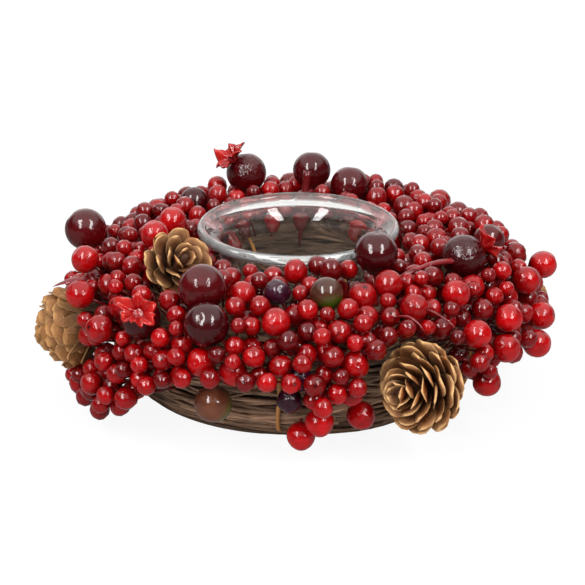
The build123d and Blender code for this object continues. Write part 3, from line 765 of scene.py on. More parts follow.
@dataclass
class VineBundle:
    """Thin dry canes wound round the ring, side by side and now and then across each other."""

    ring_radius: float = 55.8 * MM
    ring_height: float = 25.5 * MM
    half_width: float = 22 * MM
    rise: float = 8 * MM
    canes: int = 190
    inner_canes: int = 60
    outer_depths: Pair = (2.2 * MM, 0.0)
    inner_depths: Pair = (8.5 * MM, 4.0 * MM)
    least_depth: float = 0.1 * MM
    cane_radii: Pair = (0.75 * MM, 1.45 * MM)
    turns: Pair = (0.55, 1.15)
    drift: float = 0.34
    touch: float = 0.2 * MM
    vines: int = 8
    sides: int = 6
    steps: int = 76
    seed: int = 11

    def place(self, bearing: Array, lean: Array, reach: Array) -> tuple[Array, Array]:
        """Points round the bundle's racetrack section, and the way out of the bundle there.

        The section's middle moves up and down with the lean, which stretches the circle upright.

        Args:
            bearing: Angle round the ring.
            lean: Angle round the section, from outwards to upwards.
            reach: Distance from the section's middle line.

        Returns:
            The points and unit vectors out of the bundle.
        """
        out = self.ring_radius + reach * np.cos(lean)
        up = self.ring_height + reach * np.sin(lean) + self.rise / 2 * np.tanh(2.5 * np.sin(lean))
        round_ring = spokes(bearing, RIGHT, BACK)
        points = out[..., None] * round_ring + up[..., None] * UP
        return points, unit(spokes(lean, round_ring, UP))

    def stem_axes(self, centres: Array, radii: Array, starts: Array, ends: Array) -> Array:
        """Way from each berry to its wire, or to the bundle's middle where it has none of its own.

        Args:
            centres: Berries' middles, (n, 3).
            radii: Berries' radii, (n).
            starts: One end of each wire, (m, 3).
            ends: The other end, (m, 3).

        Returns:
            Unit vectors, (n, 3).
        """
        spine = centres.copy()
        spine[:, :2] *= (self.ring_radius / np.linalg.norm(centres[:, :2], axis=1))[:, None]
        spine[:, 2] = self.ring_height
        axes = unit(spine - centres)
        for near, far in ((starts, ends), (ends, starts)):
            apart = np.abs(np.linalg.norm(centres[:, None] - near[None], axis=2) - radii[:, None])
            own = apart.argmin(axis=1)
            held = apart.min(axis=1) < self.touch
            axes[held] = unit(far[own] - near[own])[held]
        return axes

    def wind(self, count: int, depths: Pair, rng: Random) -> Surface:
        """Winds canes between two depths under the bundle's outside.

        A cane runs about once round the ring. Its lean drifts evenly and wavers in a sine, its depth
        sways in another, and it thins towards its end. Its bark is darkened on the cup's side as painted
        shade.

        Args:
            count: Number of canes.
            depths: Greatest and least depth of a cane's outer side.
            rng: Source of the differences between canes.

        Returns:
            The canes.
        """
        each = (count, 1)
        share = np.linspace(0, 1, self.steps)[None]
        start = rng.uniform(0, 2 * np.pi, each)
        reach_round = rng.uniform(*self.turns, each) * 2 * np.pi
        lean = (np.arange(count)[:, None] + rng.uniform(-0.4, 0.4, each)) * GOLDEN_ANGLE
        drift = rng.normal(0, self.drift, each) * reach_round
        waver = rng.uniform(0.02, 0.07, each)
        bearing = start + reach_round * share
        lean = lean + drift * share + waver * np.sin(bearing * rng.integers(2, 6, each) + start)
        thickest = rng.uniform(*self.cane_radii, each)
        radius = thickest * (1 - 0.35 * share) * (1 + 0.06 * np.sin(40 * share + start))
        depth = between(depths, rng.uniform(0, 1, each))
        depth = depth + 0.5 * MM * np.sin(bearing * rng.integers(3, 8, each))
        reach = self.half_width - np.maximum(depth, self.least_depth) - radius
        points, ways = self.place(bearing, lean, reach)
        points[..., 2] = np.maximum(points[..., 2], radius)
        tone, own = rng.uniform(0.1, 1, (2, *each))
        # Painted shade: canes on the cup's side of the bundle lose up to three quarters of their tone.
        tone = tone * (1 - 0.75 * np.clip(-1.4 * np.cos(lean), 0, 1))
        tone = np.concatenate([np.repeat(tone, self.sides, axis=1), tone[:, [0, -1]]], axis=1)
        return tubes(points, radius, self.sides, ways, beside(tone, own, 0))

    def build(self) -> None:
        """Makes the outer canes and the darker ones that show between them."""
        rng = np.random.default_rng(self.seed)
        bark = VINE_BARK.material()
        vines = [f"vine_{i + 1}" for i in range(self.vines)]
        outer = self.wind(self.canes, self.outer_depths, rng)
        mesh_piece("vine_canes", outer, bark, "vine_bark", *vines)
        inner = self.wind(self.inner_canes, self.inner_depths, rng)
        mesh_piece("vine_inner_canes", inner, bark, "vine_bark")
        # The bundle's core takes the darkened bark, as painted shade between the canes.
        core = bpy.data.objects["vine_core"]
        core.data.materials.clear()
        core.data.materials.append(SHADED_CORE_BARK.material())


@dataclass
class RattanTies:
    """Split rattan strands that bind the bundle, tucked in under it."""

    bundle: VineBundle
    count: int = 5
    first_bearing: float = math.radians(-96)
    first_lean: float = math.radians(-55)
    wrap: float = math.radians(290)
    radius: float = 0.85 * MM
    flatness: float = 0.7
    lift: float = 0.7 * MM
    tuck: float = 3.5 * MM
    tuck_share: float = 0.06
    sides: int = 10
    steps: int = 64

    def build(self) -> None:
        """Carries a flattened section round the bundle at each bearing, from one tuck to the other.

        The lean grows evenly along a strand, a sine makes it waver, and near its ends its reach falls
        in a straight line, so that they dip in between the canes.
        """
        share = np.linspace(0, 1, self.steps)[None]
        bearing = self.first_bearing + 2 * np.pi * np.arange(self.count)[:, None] / self.count
        lean = self.first_lean + self.wrap * share + 0 * bearing
        waver = 0.006 * np.sin(5 * lean + 3 * bearing)
        ends = np.clip(1 - np.minimum(share, 1 - share) / self.tuck_share, 0, 1)
        reach = self.bundle.half_width + self.lift - self.tuck * ends
        points, ways = self.bundle.place(bearing + waver, lean, reach + 0 * bearing)
        points[..., 2] = np.maximum(points[..., 2], 1.2 * self.radius)
        radius = self.radius * (1 + 0.08 * np.sin(11 * lean + bearing))
        tint = beside(np.linspace(0.4, 0.9, self.count), np.linspace(0, 1, self.count), 0)
        surface = tubes(points, radius, self.sides, ways, tint, self.flatness)
        mesh_piece("rattan_strands", surface, RATTAN.material(), "rattan", "rattan_ties")


@dataclass(frozen=True)
class BerryShape:
    """A berry or fruit as a turned form: blossom end at one pole, stem end at the other."""

    rows: int = 6
    cols: int = 10
    neck: float = 0.10
    dimple: float = 0.10
    lobes: int = 3
    lobe_depth: float = 0.03
    stretch: float = 0.07
    neck_width: float = 0.20
    dimple_width: float = 0.22

    def globes(self, centres: Array, radii: Array, axes: Array, tint: Array, phase: Array) -> Surface:
        """Balls drawn out to a neck at the stem end and dented at the blossom end.

        Height along the axis is the sine of the latitude, plus a narrow bell at the stem's pole for
        the neck and another at the blossom's pole for the dent. Lobes ripple each ring, and some
        balls are drawn out along the axis while others are flattened.

        Args:
            centres: Middle of each ball, (n, 3).
            radii: Radius of each, (n).
            axes: Unit vector from its middle to its stem, (n, 3).
            tint: Tone and seed in columns 0 and 2, (n, 3). Column 1 becomes the place along it.
            phase: Turn of each ball's lobes, (n).

        Returns:
            The balls.
        """
        bend = np.linspace(-1, 1, self.rows + 2)
        latitude = np.pi / 2 * np.sign(bend) * (1 - (1 - np.abs(bend)) ** 1.25)
        stem_bell = np.exp(-(((np.pi / 2 - latitude) / self.neck_width) ** 2))
        blossom_bell = np.exp(-(((np.pi / 2 + latitude) / self.dimple_width) ** 2))
        height = np.sin(latitude) + self.neck * stem_bell + self.dimple * blossom_bell
        width = np.cos(latitude)
        side, up = cross_frame(axes)
        turn = full_turn(self.cols)
        out = spokes(turn, side[:, None], up[:, None])
        lobes = 1 + self.lobe_depth * np.cos(self.lobes * turn[None] + phase[:, None])
        ring_out = width[None, 1:-1, None, None] * (out * lobes[:, :, None])[:, None]
        drawn = axes * (1 + self.stretch * np.sin(7 * phase))[:, None]
        ring_up = height[None, 1:-1, None, None] * drawn[:, None, None]
        size = radii[:, None, None, None]
        rings = centres[:, None, None] + size * (ring_out + ring_up)
        first = centres + radii[:, None] * height[0] * drawn
        last = centres + radii[:, None] * height[-1] * drawn
        along = (latitude / np.pi + 0.5).clip(0, 1)
        rows = np.concatenate([np.repeat(along[1:-1], self.cols), [0.0, 1.0]])
        return closed_shells(rings, first, last, beside(tint[:, :1], rows, tint[:, 2:]))


@dataclass
class Berries:
    """The lacquered berries on their wires, in picks round the ring."""

    bundle: VineBundle
    picks: int = 12
    shape: BerryShape = BerryShape()
    bright_shape: BerryShape = BerryShape(rows=13, cols=18, neck=0.16, stretch=0.04)
    sloe_shape: BerryShape = BerryShape(rows=16, cols=20, lobe_depth=0.05, lobes=5)
    bright_radius: float = 5.85 * MM
    tone_odds: Pair = (2.0, 1.4)
    tones: Pair = (0.16, 0.88)
    bright_tones: Pair = (0.62, 1.0)
    wire_radius: float = 0.48 * MM
    wire_bow: float = 0.35 * MM
    wire_steps: int = 7
    wire_sides: int = 6
    seed: int = 5

    def build(self) -> None:
        """Dresses each pick's berries, their wires, and the sloes among them."""
        rng = np.random.default_rng(self.seed)
        red = BERRY_RED.material()
        numbers = [f"{i:02d}" for i in range(1, self.picks + 1)]
        wire_nodes = [f"wire_pick_{number}" for number in numbers]
        rods = [rod_fit(islands(node)) for node in wire_nodes]
        starts, ends = (np.vstack(points) for points in zip(*rods))
        for number in numbers:
            node = f"berry_pick_{number}"
            centres, radii = ball_fit(islands(node))
            axes = self.bundle.stem_axes(centres, radii, starts, ends)
            count = len(centres)
            bright = radii > self.bright_radius
            tone = rng.beta(*self.tone_odds, count)
            tone = np.where(bright, between(self.bright_tones, tone), between(self.tones, tone))
            tint = beside(tone, 0, rng.uniform(0, 1, count))
            phase = rng.uniform(0, 2 * np.pi, count)
            parts = [
                shape.globes(centres[some], radii[some], axes[some], tint[some], phase[some])
                for shape, some in ((self.shape, ~bright), (self.bright_shape, bright))
                if some.any()
            ]
            mesh_piece(f"lacquered_berries_{number}", join(parts), red, "berry_red", node)
        self.build_sloes(starts, ends, rng)
        self.build_wires(starts, ends, wire_nodes, rng)

    def build_sloes(self, starts: Array, ends: Array, rng: Random) -> None:
        """Dresses the few violet berries, each with its stem end at its own wire.

        Args:
            starts: One end of each wire, (m, 3).
            ends: The other end, (m, 3).
            rng: Source of the differences between berries.
        """
        centres, radii = ball_fit(islands("sloes"))
        axes = self.bundle.stem_axes(centres, radii, starts, ends)
        count = len(centres)
        tint = beside(rng.uniform(0.3, 1, count), 0, rng.uniform(0, 1, count))
        surface = self.sloe_shape.globes(centres, radii, axes, tint, rng.uniform(0, 6, count))
        mesh_piece("violet_sloes", surface, SLOE.material(), "sloe_purple", "sloes")

    def build_wires(self, starts: Array, ends: Array, nodes: list[str], rng: Random) -> None:
        """Draws each wire as a thin rod, with the lacquer thicker at its ends.

        Half a sine wave bows it sideways, and the fourth power of the way to its ends thickens it.

        Args:
            starts: One end of each wire, (m, 3).
            ends: The other end, (m, 3).
            nodes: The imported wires.
            rng: Source of the differences between wires.
        """
        count = len(starts)
        share = np.linspace(0, 1, self.wire_steps)[None]
        bow, _ = cross_frame(unit(ends - starts))
        sway = self.wire_bow * rng.uniform(-1, 1, (count, 1)) * np.sin(np.pi * share)
        paths = starts[:, None] + share[..., None] * (ends - starts)[:, None]
        paths += sway[..., None] * bow[:, None]
        radius = self.wire_radius * (1 + 0.5 * np.abs(2 * share - 1) ** 4)
        tint = beside(rng.uniform(0, 1, count), 0.4, rng.uniform(0, 1, count))
        surface = tubes(paths, np.repeat(radius, count, axis=0), self.wire_sides, None, tint)
        mesh_piece("lacquered_wires", surface, COATED_WIRE.material(), "wire_red", *nodes)


class FruitKind(Enum):
    """Kinds of large fruit, by the record's slot for them."""

    DARK = "fruit_dark"
    UNRIPE = "fruit_unripe"


@dataclass
class Fruits:
    """The large fruits, the crowns that three of them have, and the thick stems."""

    bundle: VineBundle
    crowned: tuple[str, ...] = ("pomegranate_back", "pomegranate_left", "pomegranate_right")
    plums: tuple[str, ...] = (
        "plum_back",
        "plum_back_right",
        "plum_mid_left",
        "plum_left",
        "plum_cup_left",
        "plum_front_left",
        "plum_cup_right",
        "plum_right",
    )
    unripe: tuple[str, ...] = ("unripe_plum_cup", "unripe_plum_front")
    unripe_tones: tuple[float, ...] = (0.5, 0.8)
    green_sides: tuple[Triple, ...] = ((0.30, -0.50, -0.81), (0.86, 0.20, -0.47))
    shape: BerryShape = BerryShape(
        rows=26, cols=36, neck=0.05, dimple=0.05, lobes=2, lobe_depth=0.012, stretch=0.02
    )
    sepals: int = 6
    stem_radius: float = 1.1 * MM
    stem_steps: int = 14
    stem_sides: int = 12
    seed: int = 23

    def build(self) -> None:
        """Dresses each fruit with its stem end down its own stem, then the crowns and the stems."""
        rng = np.random.default_rng(self.seed)
        dark, green, crinkled = (f.material() for f in (DARK_FRUIT, UNRIPE_FRUIT, CRINKLED_FRUIT))
        starts, ends = rod_fit(islands("stems"))
        crown_finish = CROWN_RED.material()
        for name in self.crowned + self.plums + self.unripe:
            kind = FruitKind.DARK
            finish = crinkled if name in self.crowned else dark
            centres, radii = ball_fit([mesh_arrays(name)[0]])
            axes = self.bundle.stem_axes(centres, radii, starts, ends)
            tint = np.array([[rng.uniform(0.2, 0.9), 0.0, rng.uniform()]])
            if name in self.unripe:
                kind = FruitKind.UNRIPE
                finish = green
                which = self.unripe.index(name)
                axes = unit(np.array([self.green_sides[which]]))
                tint[0, 0] = self.unripe_tones[which]
            surface = self.shape.globes(centres, radii, axes, tint, rng.uniform(0, 6, 1))
            mesh_piece(f"lacquered_{name}", surface, finish, kind.value, name)
            if name in self.crowned:
                self.build_crown(name, centres[0], radii[0], crown_finish, rng)
        self.build_stems(starts, ends, rng)

    def build_crown(
        self, fruit: str, centre: Array, radius: float, finish: bpy.types.Material, rng: Random
    ) -> None:
        """Opens a funnel-shaped calyx on a short neck, torn into pointed lobes.

        Each meridian runs from the neck outwards and up. Its length follows a row of pointed arches,
        so that the edge is a star, and slow waves round the calyx curl some lobes out and others up.

        Args:
            fruit: The fruit's node.
            centre: The fruit's middle.
            radius: The fruit's radius.
            finish: The crown's material.
            rng: Source of the differences between calyxes.
        """
        node = f"{fruit}_crown"
        axis = unit(mesh_arrays(node)[0].mean(axis=0) - centre)
        turn = full_turn(10 * self.sepals)
        out = spokes(turn, *cross_frame(axis[None]))
        phase = rng.uniform(0, 2 * np.pi, 4)
        peak = 1 - np.abs(2 * ((turn * self.sepals / (2 * np.pi)) % 1) - 1)
        length = 0.70 + 0.30 * peak**0.7 * (1 + 0.35 * np.sin(2 * turn + phase[0]))
        curl = 1 + 0.20 * np.sin(2 * turn + phase[1]) + 0.16 * np.sin(5 * turn + phase[2])
        run = np.linspace(0, 1, 9)[:, None] * length
        ragged = np.sin(11 * turn + phase[3]) * run**2
        reach = 2.1 + 1.2 * run + 4.7 * curl * run**1.4 + 0.6 * ragged
        rise = -0.6 + 5.2 * run / curl - 0.8 * run**2 * curl + 0.9 * np.roll(ragged, 3, axis=1)
        foot = centre + axis * radius
        outer = foot + MM * (reach[..., None] * out + rise[..., None] * axis)
        reach = 0.93 * reach - 0.25
        rise = 0.97 * rise + 0.45
        inner = foot + MM * (reach[..., None] * out + rise[..., None] * axis)
        rings = np.concatenate([outer, inner[::-1]])[None]
        # Painted shade: tone rises from the neck to the lobes' ends and is lower on the outer side.
        tone = np.concatenate([0.25 + 0.45 * run, 0.30 + 0.65 * run[::-1]])
        tone += 0.12 * np.sin(7 * turn + phase[0])
        tint = beside(np.append(np.clip(tone, 0, 1), [0.4, 0.4]), 0.4, 0.4)[None]
        neck = foot - 0.6 * MM * axis
        boss = foot + 2.4 * MM * axis
        surface = closed_shells(rings, neck[None], boss[None], tint)
        mesh_piece(f"lacquered_{node}", surface, finish, "crown_red", node)

    def build_stems(self, starts: Array, ends: Array, rng: Random) -> None:
        """Draws the thick stems as straight rods, with knobs of lacquer along them.

        A sine along the stem gives the knobs, and the fifth power of the way to its ends a swelling.

        Args:
            starts: One end of each stem, (m, 3).
            ends: The other end, (m, 3).
            rng: Source of the differences between stems.
        """
        count = len(starts)
        share = np.linspace(0, 1, self.stem_steps)[None]
        paths = starts[:, None] + share[..., None] * (ends - starts)[:, None]
        phase = rng.uniform(0, 6, (count, 1))
        knobs = 0.92 + 0.16 * np.sin(9 * share + phase) + 0.35 * np.abs(2 * share - 1) ** 5
        tint = beside(rng.uniform(0.3, 1, count), 0.5, 0)
        surface = tubes(paths, self.stem_radius * knobs, self.stem_sides, None, tint)
        mesh_piece("lacquered_stems", surface, COATED_WIRE.material(), "stem_red", "stems")


@dataclass(frozen=True)
class ScaleStyle:
    """How a kind of cone carries its scales, and the form and shade of one scale.

    per_mm counts the scales on the cone's length, and a crowding below 1 sets more near its tip. The
    lean is in degrees from the axis, at the stalk and at the tip. petal is the half width at each step
    from a scale's root to its end, as a share of its greatest. root_shade is the tone painted at a
    scale's root as shade, and shade_bend how slowly that painted shade lifts towards the end.
    """

    finish: DryPlant
    per_mm: float
    crowding: float
    lean: Pair
    lean_bend: float
    droop: float
    petal: tuple[float, ...]
    fan: float
    thick_mm: float
    cupped: float
    root_shade: float
    shade_bend: float


# Ripe cones, dried until their scales stand wide open
OPEN_SCALES = ScaleStyle(
    CONE_SCALE,
    per_mm=1.75,
    crowding=0.8,
    lean=(80, 22),
    lean_bend=1.3,
    droop=0.16,
    petal=(0.30, 0.72, 1.0, 0.94, 0.66, 0.30),
    fan=1.0,
    thick_mm=0.75,
    cupped=0.16,
    root_shade=0.42,
    shade_bend=1.6,
)
# Paler cones with more scales, which lie almost shut
CLOSED_SCALES = ScaleStyle(
    CONE_SCALE_PALE,
    per_mm=2.3,
    crowding=1.0,
    lean=(72, 16),
    lean_bend=0.55,
    droop=0.02,
    petal=(0.30, 0.72, 0.96, 1.0, 0.86, 0.52),
    fan=1.06,
    thick_mm=0.45,
    cupped=0.10,
    root_shade=0.08,
    shade_bend=3.5,
)


@dataclass(frozen=True)
class ConeSpec:
    """One cone: its node, the way its tip points, and its scales."""

    node: str
    tip: Triple
    style: ScaleStyle = OPEN_SCALES


@dataclass
class Cones:
    """Small conifer cones: thin scales with torn ends, in a spiral round a core.

    A scale has a ring of points at each of the steps along it, at the section's angles in degrees. The
    lights say where on a ring, and at which step, its painted edge highlight shows.
    """

    specs: tuple[ConeSpec, ...] = (
        ConeSpec("cone_front_right", (-0.66, -0.72, 0.12)),
        ConeSpec("cone_left", (-0.86, 0.15, -0.32), CLOSED_SCALES),
        ConeSpec("cone_cup_left", (0.40, -0.68, 0.62)),
        ConeSpec("cone_right", (0.80, 0.35, -0.15), CLOSED_SCALES),
        ConeSpec("cone_back_left", (-0.40, 0.80, 0.30)),
        ConeSpec("cone_back_right", (0.45, 0.80, 0.10)),
    )
    reach_arc: Pair = (0.24, 0.96)
    end_heights: Pair = (0.15, 0.99)
    breadth_arc: Pair = (0.14, 0.92)
    breadths: Pair = (0.058, 0.162)
    steps: tuple[float, ...] = (0.0, 0.32, 0.60, 0.82, 0.94, 0.988)
    section: tuple[int, ...] = (0, 24, 90, 156, 180, 204, 270, 336)
    rim_light: tuple[float, ...] = (1.0, 0.25, 0.0, 0.25, 1.0, 0.3, 0.0, 0.3)
    end_light: tuple[float, ...] = (0, 0, 0, 0, 0.25, 0.9)
    core: tuple[float, ...] = (0.10, 0.15, 0.16, 0.15, 0.13, 0.10, 0.07, 0.03)
    core_length: float = 0.88
    core_sides: int = 12
    grain_mm: float = 12.0
    seed: int = 31

    def build(self) -> None:
        """Dresses each cone, with its length and width taken off its node along its tip's way."""
        rng = np.random.default_rng(self.seed)
        finishes = {style: style.finish.material() for style in (OPEN_SCALES, CLOSED_SCALES)}
        for spec in self.specs:
            points, _ = mesh_arrays(spec.node)
            tip = unit(np.array(spec.tip))
            along = points @ tip
            middle = (points.min(axis=0) + points.max(axis=0)) / 2
            stalk = middle + tip * (along.min() - middle @ tip)
            length = along.max() - along.min()
            off = points - stalk - np.outer(along - along.min(), tip)
            width = 2 * np.linalg.norm(off, axis=1).max()
            surface = self.scale_spiral(stalk, tip, length, width, spec.style, rng)
            finish = finishes[spec.style]
            mesh_piece(f"{spec.node}_scales", surface, finish, "cone_scale", spec.node)

    def scale_spiral(
        self, stalk: Array, tip: Array, length: float, width: float, style: ScaleStyle, rng: Random
    ) -> Surface:
        """Sets scales on a spiral of the golden angle, from the stalk to the tip.

        A scale starts at the core, leans out along a curve that bends outwards, and is as wide as a
        petal: narrow at its root, widest near its end, which is torn. Its section is a thin, cupped lens.
        Both its reach from the axis and its breadth follow an arc of a sine along the cone.

        Args:
            stalk: The cone's stalk end.
            tip: Unit vector to its tip.
            length: Its length.
            width: Its greatest width.
            style: How it carries its scales.
            rng: Source of the differences between scales.

        Returns:
            The scales and the core.
        """
        count = int(style.per_mm * length / MM)
        share = ((np.arange(count) + 0.5) / count) ** style.crowding
        turn = np.arange(count) * GOLDEN_ANGLE + rng.normal(0, 0.05, count)
        out = spokes(turn, *cross_frame(tip[None]))
        reach = width / 2 * np.sin(np.pi * between(self.reach_arc, share))
        reach *= rng.uniform(0.94, 1.03, count)
        lean = np.radians(between(style.lean, share**style.lean_bend))
        lean *= rng.uniform(0.95, 1.05, count)
        top = length * between(self.end_heights, share)
        run = np.array(self.steps)
        outwards = reach[:, None] * (0.05 + 0.95 * run)
        rise = (reach / np.tan(lean))[:, None] * (0.55 * run + 0.45 * run**2.2 - 1)
        rise -= style.droop * reach[:, None] * np.clip(run - 0.72, 0, 1)
        centre = stalk + outwards[..., None] * out[:, None] + (top[:, None] + rise)[..., None] * tip
        ways = unit(np.gradient(centre, axis=1))
        across = np.repeat(np.cross(tip[None], out)[:, None], len(run), axis=1)
        inwards = np.cross(ways, across)
        swell = np.sin(np.pi * between(self.breadth_arc, share))
        widest = style.fan * width * between(self.breadths, swell) * rng.uniform(0.88, 1.12, count)
        breadth = (widest[:, None] * np.array(style.petal))[..., None]
        ring = np.radians(self.section)
        thick = MM * (style.thick_mm - 0.30 * run)[None, :, None] * np.sin(ring)
        cup = -style.cupped * breadth * (1 - 1.5 * run**3)[:, None] * np.cos(ring) ** 2
        wave = 0.14 * breadth * np.sin(2 * ring + 5 * turn[:, None, None]) * run[:, None] ** 2
        torn = 0.16 * breadth * np.sin(3 * ring + 9 * turn[:, None, None]) * run[:, None] ** 8
        rings = (
            centre[:, :, None]
            + (breadth * np.cos(ring))[..., None] * across[:, :, None]
            - (thick + cup + wave)[..., None] * inwards[:, :, None]
            + torn[..., None] * ways[:, :, None]
        )
        # Painted highlight: the edge colour goes on a scale's rims, more towards its end, and on its end.
        edge = np.maximum(np.array(self.rim_light) * run[:, None] ** 2, np.array(self.end_light)[:, None])
        # Painted shade: tone rises from a dark root to the end, from a deeper low on the inner face than on
        # the back, where scales overlap.
        shade = between((style.root_shade, 1), run**style.shade_bend)
        painted_shade = np.where(np.sin(ring) > 0.1, shade[:, None], 0.02 + 0.62 * run[:, None] ** 3)
        tone = rng.uniform(0.62, 1.0, (count, 1)) * np.append(painted_shade, [0.02, 1.0])
        tint = beside(tone, rng.uniform(0, 1, (count, 1)), 0.8 * np.append(edge, [0.0, 1.0]))
        grain = beside(2 * np.cos(ring), np.sin(ring), (run * self.grain_mm * MM)[:, None])
        grain = np.broadcast_to(grain, rings.shape)
        last = centre[:, -1] + ways[:, -1] * (0.012 * reach)[:, None]
        blades = closed_shells(rings, centre[:, 0], last, tint, grain)
        path = stalk + np.linspace(0, self.core_length, len(self.core))[:, None] * length * tip
        # The core's low tone is painted shade, deep among the scales.
        core_shade_tint = np.array([[0.1, 0.5, 0.0]])
        core = tubes(path[None], width * np.array([self.core]), self.core_sides, None, core_shade_tint)
        return join([blades, core])


@dataclass(frozen=True)
class Sprig:
    """A loose stalk, bract or leaf: its start, bend, end and half width in millimetres."""

    bow: tuple[Triple, Triple, Triple]
    half_width: float
    leaf: bool = False


@dataclass
class Sprigs:
    """Loose stalks, bracts and a leaf that stick out between the berries."""

    sprigs: tuple[Sprig, ...] = (
        Sprig(((-82, -8, 49), (-93, -15, 53), (-103, -12, 47)), 1.7, True),
        Sprig(((68, -33, 66), (55, -43, 71), (42, -52, 66)), 1.7),
        Sprig(((55, -43, 69), (52, -50, 69), (52, -55, 65)), 0.35),
        Sprig(((48, -48, 68), (44, -55, 71), (40, -60, 68)), 0.35),
        Sprig(((38, -80, 59), (45, -90, 66), (50, -91, 57)), 0.75),
        Sprig(((50, -72, 60), (57, -86, 63), (63, -85, 56)), 0.75),
        Sprig(((26, -92, 48), (29, -101, 53), (33, -101, 57)), 0.5),
        Sprig(((25, -92, 49), (27, -102, 54), (29, -102, 57)), 0.4),
        Sprig(((13, -90, 54), (15, -98, 58), (17, -98, 61)), 0.5),
        Sprig(((4.2, 50.5, 77.5), (2.6, 47, 67), (0.5, 41, 46)), 1.8),
        Sprig(((-60, -44, 16), (-72, -44, 19), (-86, -44, 15)), 1.6),
        Sprig(((-62, -46, 21), (-74, -46, 22), (-88, -42, 20)), 1.4),
        Sprig(((-66, -34, 32), (-78, -34, 32), (-90, -30, 30)), 1.6),
    )
    blade_way: Triple = (0, -0.3, 0.95)
    leaf_flatness: float = 0.18
    stalk_flatness: float = 0.8
    sides: int = 10
    steps: int = 11

    def build(self) -> None:
        """Draws each along a parabola: stalks taper slowly, leaves swell and end in a point.

        The parabola mixes the start, bend and end by the squares of the way along it. A stalk narrows
        in a straight line, and a leaf's width is a sine of the way, drawn towards its root.
        """
        share = np.linspace(0, 1, self.steps)
        bows = MM * np.array([sprig.bow for sprig in self.sprigs], float)
        mix = beside((1 - share) ** 2, 2 * share * (1 - share), share**2)
        paths = np.einsum("sk,nkx->nsx", mix, bows)
        stalk = 1 - 0.55 * share
        blade = 0.12 + np.sin(np.pi * share**0.8) ** 0.8 * (1 - 0.1 * share)
        widths = MM * np.array([s.half_width * (blade if s.leaf else stalk) for s in self.sprigs])
        widths[:, -1] *= 0.25
        tint = beside(np.linspace(0.72, 0.3, len(bows)), 0.4, 0)
        upright = np.broadcast_to(self.blade_way, paths.shape)
        leaf = np.array([s.leaf for s in self.sprigs])
        parts = [
            tubes(paths[some], widths[some], self.sides, upright[some], tint[some], flatness)
            for some, flatness in ((leaf, self.leaf_flatness), (~leaf, self.stalk_flatness))
        ]
        mesh_piece("lacquered_sprigs", join(parts), COATED_WIRE.material(), "wire_red")


# Studio


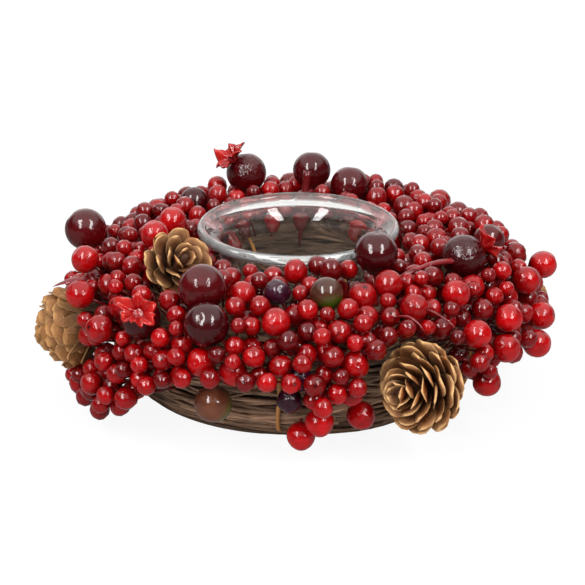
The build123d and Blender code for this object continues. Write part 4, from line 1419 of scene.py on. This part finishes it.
@dataclass
class Studio:
    """White sweep under a soft dome, two strip boxes in front and the photograph's camera."""

    target: Triple = (-2.38 * MM, 0.0, 40 * MM)
    distance: float = 1.4
    elevation: float = math.radians(20.48)
    focal_pixels: float = 3310.0
    image_pixels: float = 585.0
    sensor: float = 36.0
    strip_power: float = 17.0
    strip_width: float = 0.32
    strip_height: float = 1.1
    strip_side: float = 0.66
    strip_distance: float = 1.2
    strip_rise: float = math.radians(48)
    dome: float = 1.2
    dome_behind: float = 0.75
    dome_edge: Pair = (0.40, 0.66)
    front: float = 0.06
    floor_half: float = 4.0
    floor_colour: str = "#f4f4f4"
    floor_glow: float = 0.92
    floor_gloss: float = 0.2

    def aim(self, data: bpy.types.ID, rise: float, distance: float, side: float = 0) -> bpy.types.Object:
        """Sets a camera or lamp up in front, at an angle over the table, looking at the ring.

        Args:
            data: The camera or lamp.
            rise: Its angle over the table.
            distance: Its distance from the target.
            side: How far it is shifted to the right.

        Returns:
            Its object.
        """
        back = Vector((0, -math.cos(rise), math.sin(rise)))
        aimed = bpy.data.objects.new(data.name, data)
        aimed.location = Vector(self.target) + back * distance + Vector((side, 0, 0))
        aimed.rotation_euler = (-back).to_track_quat("-Z", "Y").to_euler()
        bpy.context.collection.objects.link(aimed)
        return aimed

    def camera(self) -> None:
        """Puts the camera in front, looking along +Y and down onto the ring."""
        data = bpy.data.cameras.new("photo_camera")
        data.sensor_width = self.sensor
        data.lens = self.sensor * self.focal_pixels / self.image_pixels
        bpy.context.scene.camera = self.aim(data, self.elevation, self.distance)

    def lights(self) -> None:
        """Stands two strip boxes in front, high on either side."""
        for name, side in (("strip_left", -self.strip_side), ("strip_right", self.strip_side)):
            data = bpy.data.lights.new(name, "AREA")
            data.shape = "RECTANGLE"
            data.size = self.strip_width
            data.size_y = self.strip_height
            data.energy = self.strip_power
            self.aim(data, self.strip_rise, self.strip_distance, side)

    @staticmethod
    def seen(node: AddNode, mirrored: float) -> bpy.types.Node:
        """1 on rays that come straight or through glass, and a share of it on reflected ones.

        Args:
            node: add_node for the tree.
            mirrored: The share on reflected rays.

        Returns:
            The node that gives the value.
        """
        path = node("LightPath").outputs
        clear = {0: path["Is Camera Ray"], 1: path["Is Transmission Ray"]}
        straight = node("Math", links=clear, operation="MAXIMUM")
        glossy = node("Math", {1: mirrored}, {0: path["Is Glossy Ray"]}, operation="MULTIPLY")
        return node("Math", links={0: straight, 1: glossy}, operation="MAXIMUM")

    def world(self) -> None:
        """White where it is seen; its light is a soft dome over and behind, with a dim room in front."""
        world = bpy.data.worlds.new("white_room")
        world.use_nodes = True
        world.node_tree.nodes.clear()
        node = partial(add_node, world.node_tree)
        parts = node("SeparateXYZ", links={0: node("TexCoord").outputs["Generated"]}).outputs
        behind = node("Math", {1: self.dome_behind}, {0: parts["Y"]}, operation="MULTIPLY")
        over = node("Math", links={0: parts["Z"], 1: behind}, operation="MAXIMUM")
        edge = dict(zip(MAPPED_SPAN, self.dome_edge)) | {"To Min": self.front, "To Max": self.dome}
        dome = node("MapRange", edge, {"Value": over}, interpolation_type="SMOOTHSTEP")
        level = node("MapRange", links={"Value": self.seen(node, 0.0), "To Min": dome})
        light = node("Background", {"Color": (1, 1, 1, 1)}, {"Strength": level})
        node("OutputWorld", links={"Surface": light})
        bpy.context.scene.world = world

    def floor(self) -> None:
        """A sweep of matt white paper, which keeps a faint shadow."""
        corners = self.floor_half * np.array([[-1, -1, 0], [1, -1, 0], [1, 1, 0], [-1, 1, 0]])
        mesh = bpy.data.meshes.new("white_floor")
        mesh.from_pydata(corners, [], [(0, 1, 2, 3)])
        material, node = new_material("white_paper_sweep")
        matt = node("BsdfDiffuse", {"Color": hex_linear(self.floor_colour)})
        glow = node("Emission", links={"Strength": self.seen(node, self.floor_gloss)})
        share = node("Math", {1: self.floor_glow}, {0: self.seen(node, 1.0)}, operation="MULTIPLY")
        mixed = node("MixShader", links={0: share, 1: matt, 2: glow})
        node("OutputMaterial", links={"Surface": mixed})
        mesh.materials.append(material)
        floor = bpy.data.objects.new("white_floor", mesh)
        bpy.context.collection.objects.link(floor)

    def build(self) -> None:
        """Sets up the camera, the lights and the background."""
        self.camera()
        self.lights()
        self.world()
        self.floor()
        bpy.context.scene.view_settings.view_transform = "Standard"


def main() -> None:
    """Builds every sub-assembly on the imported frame."""
    logging.basicConfig(level=logging.INFO, format="%(message)s")
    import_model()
    Studio().build()
    bundle = VineBundle()
    GlassCup().build()
    bundle.build()
    RattanTies(bundle).build()
    Berries(bundle).build()
    Fruits(bundle).build()
    Cones().build()
    Sprigs().build()


if __name__ == "__main__":
    main()
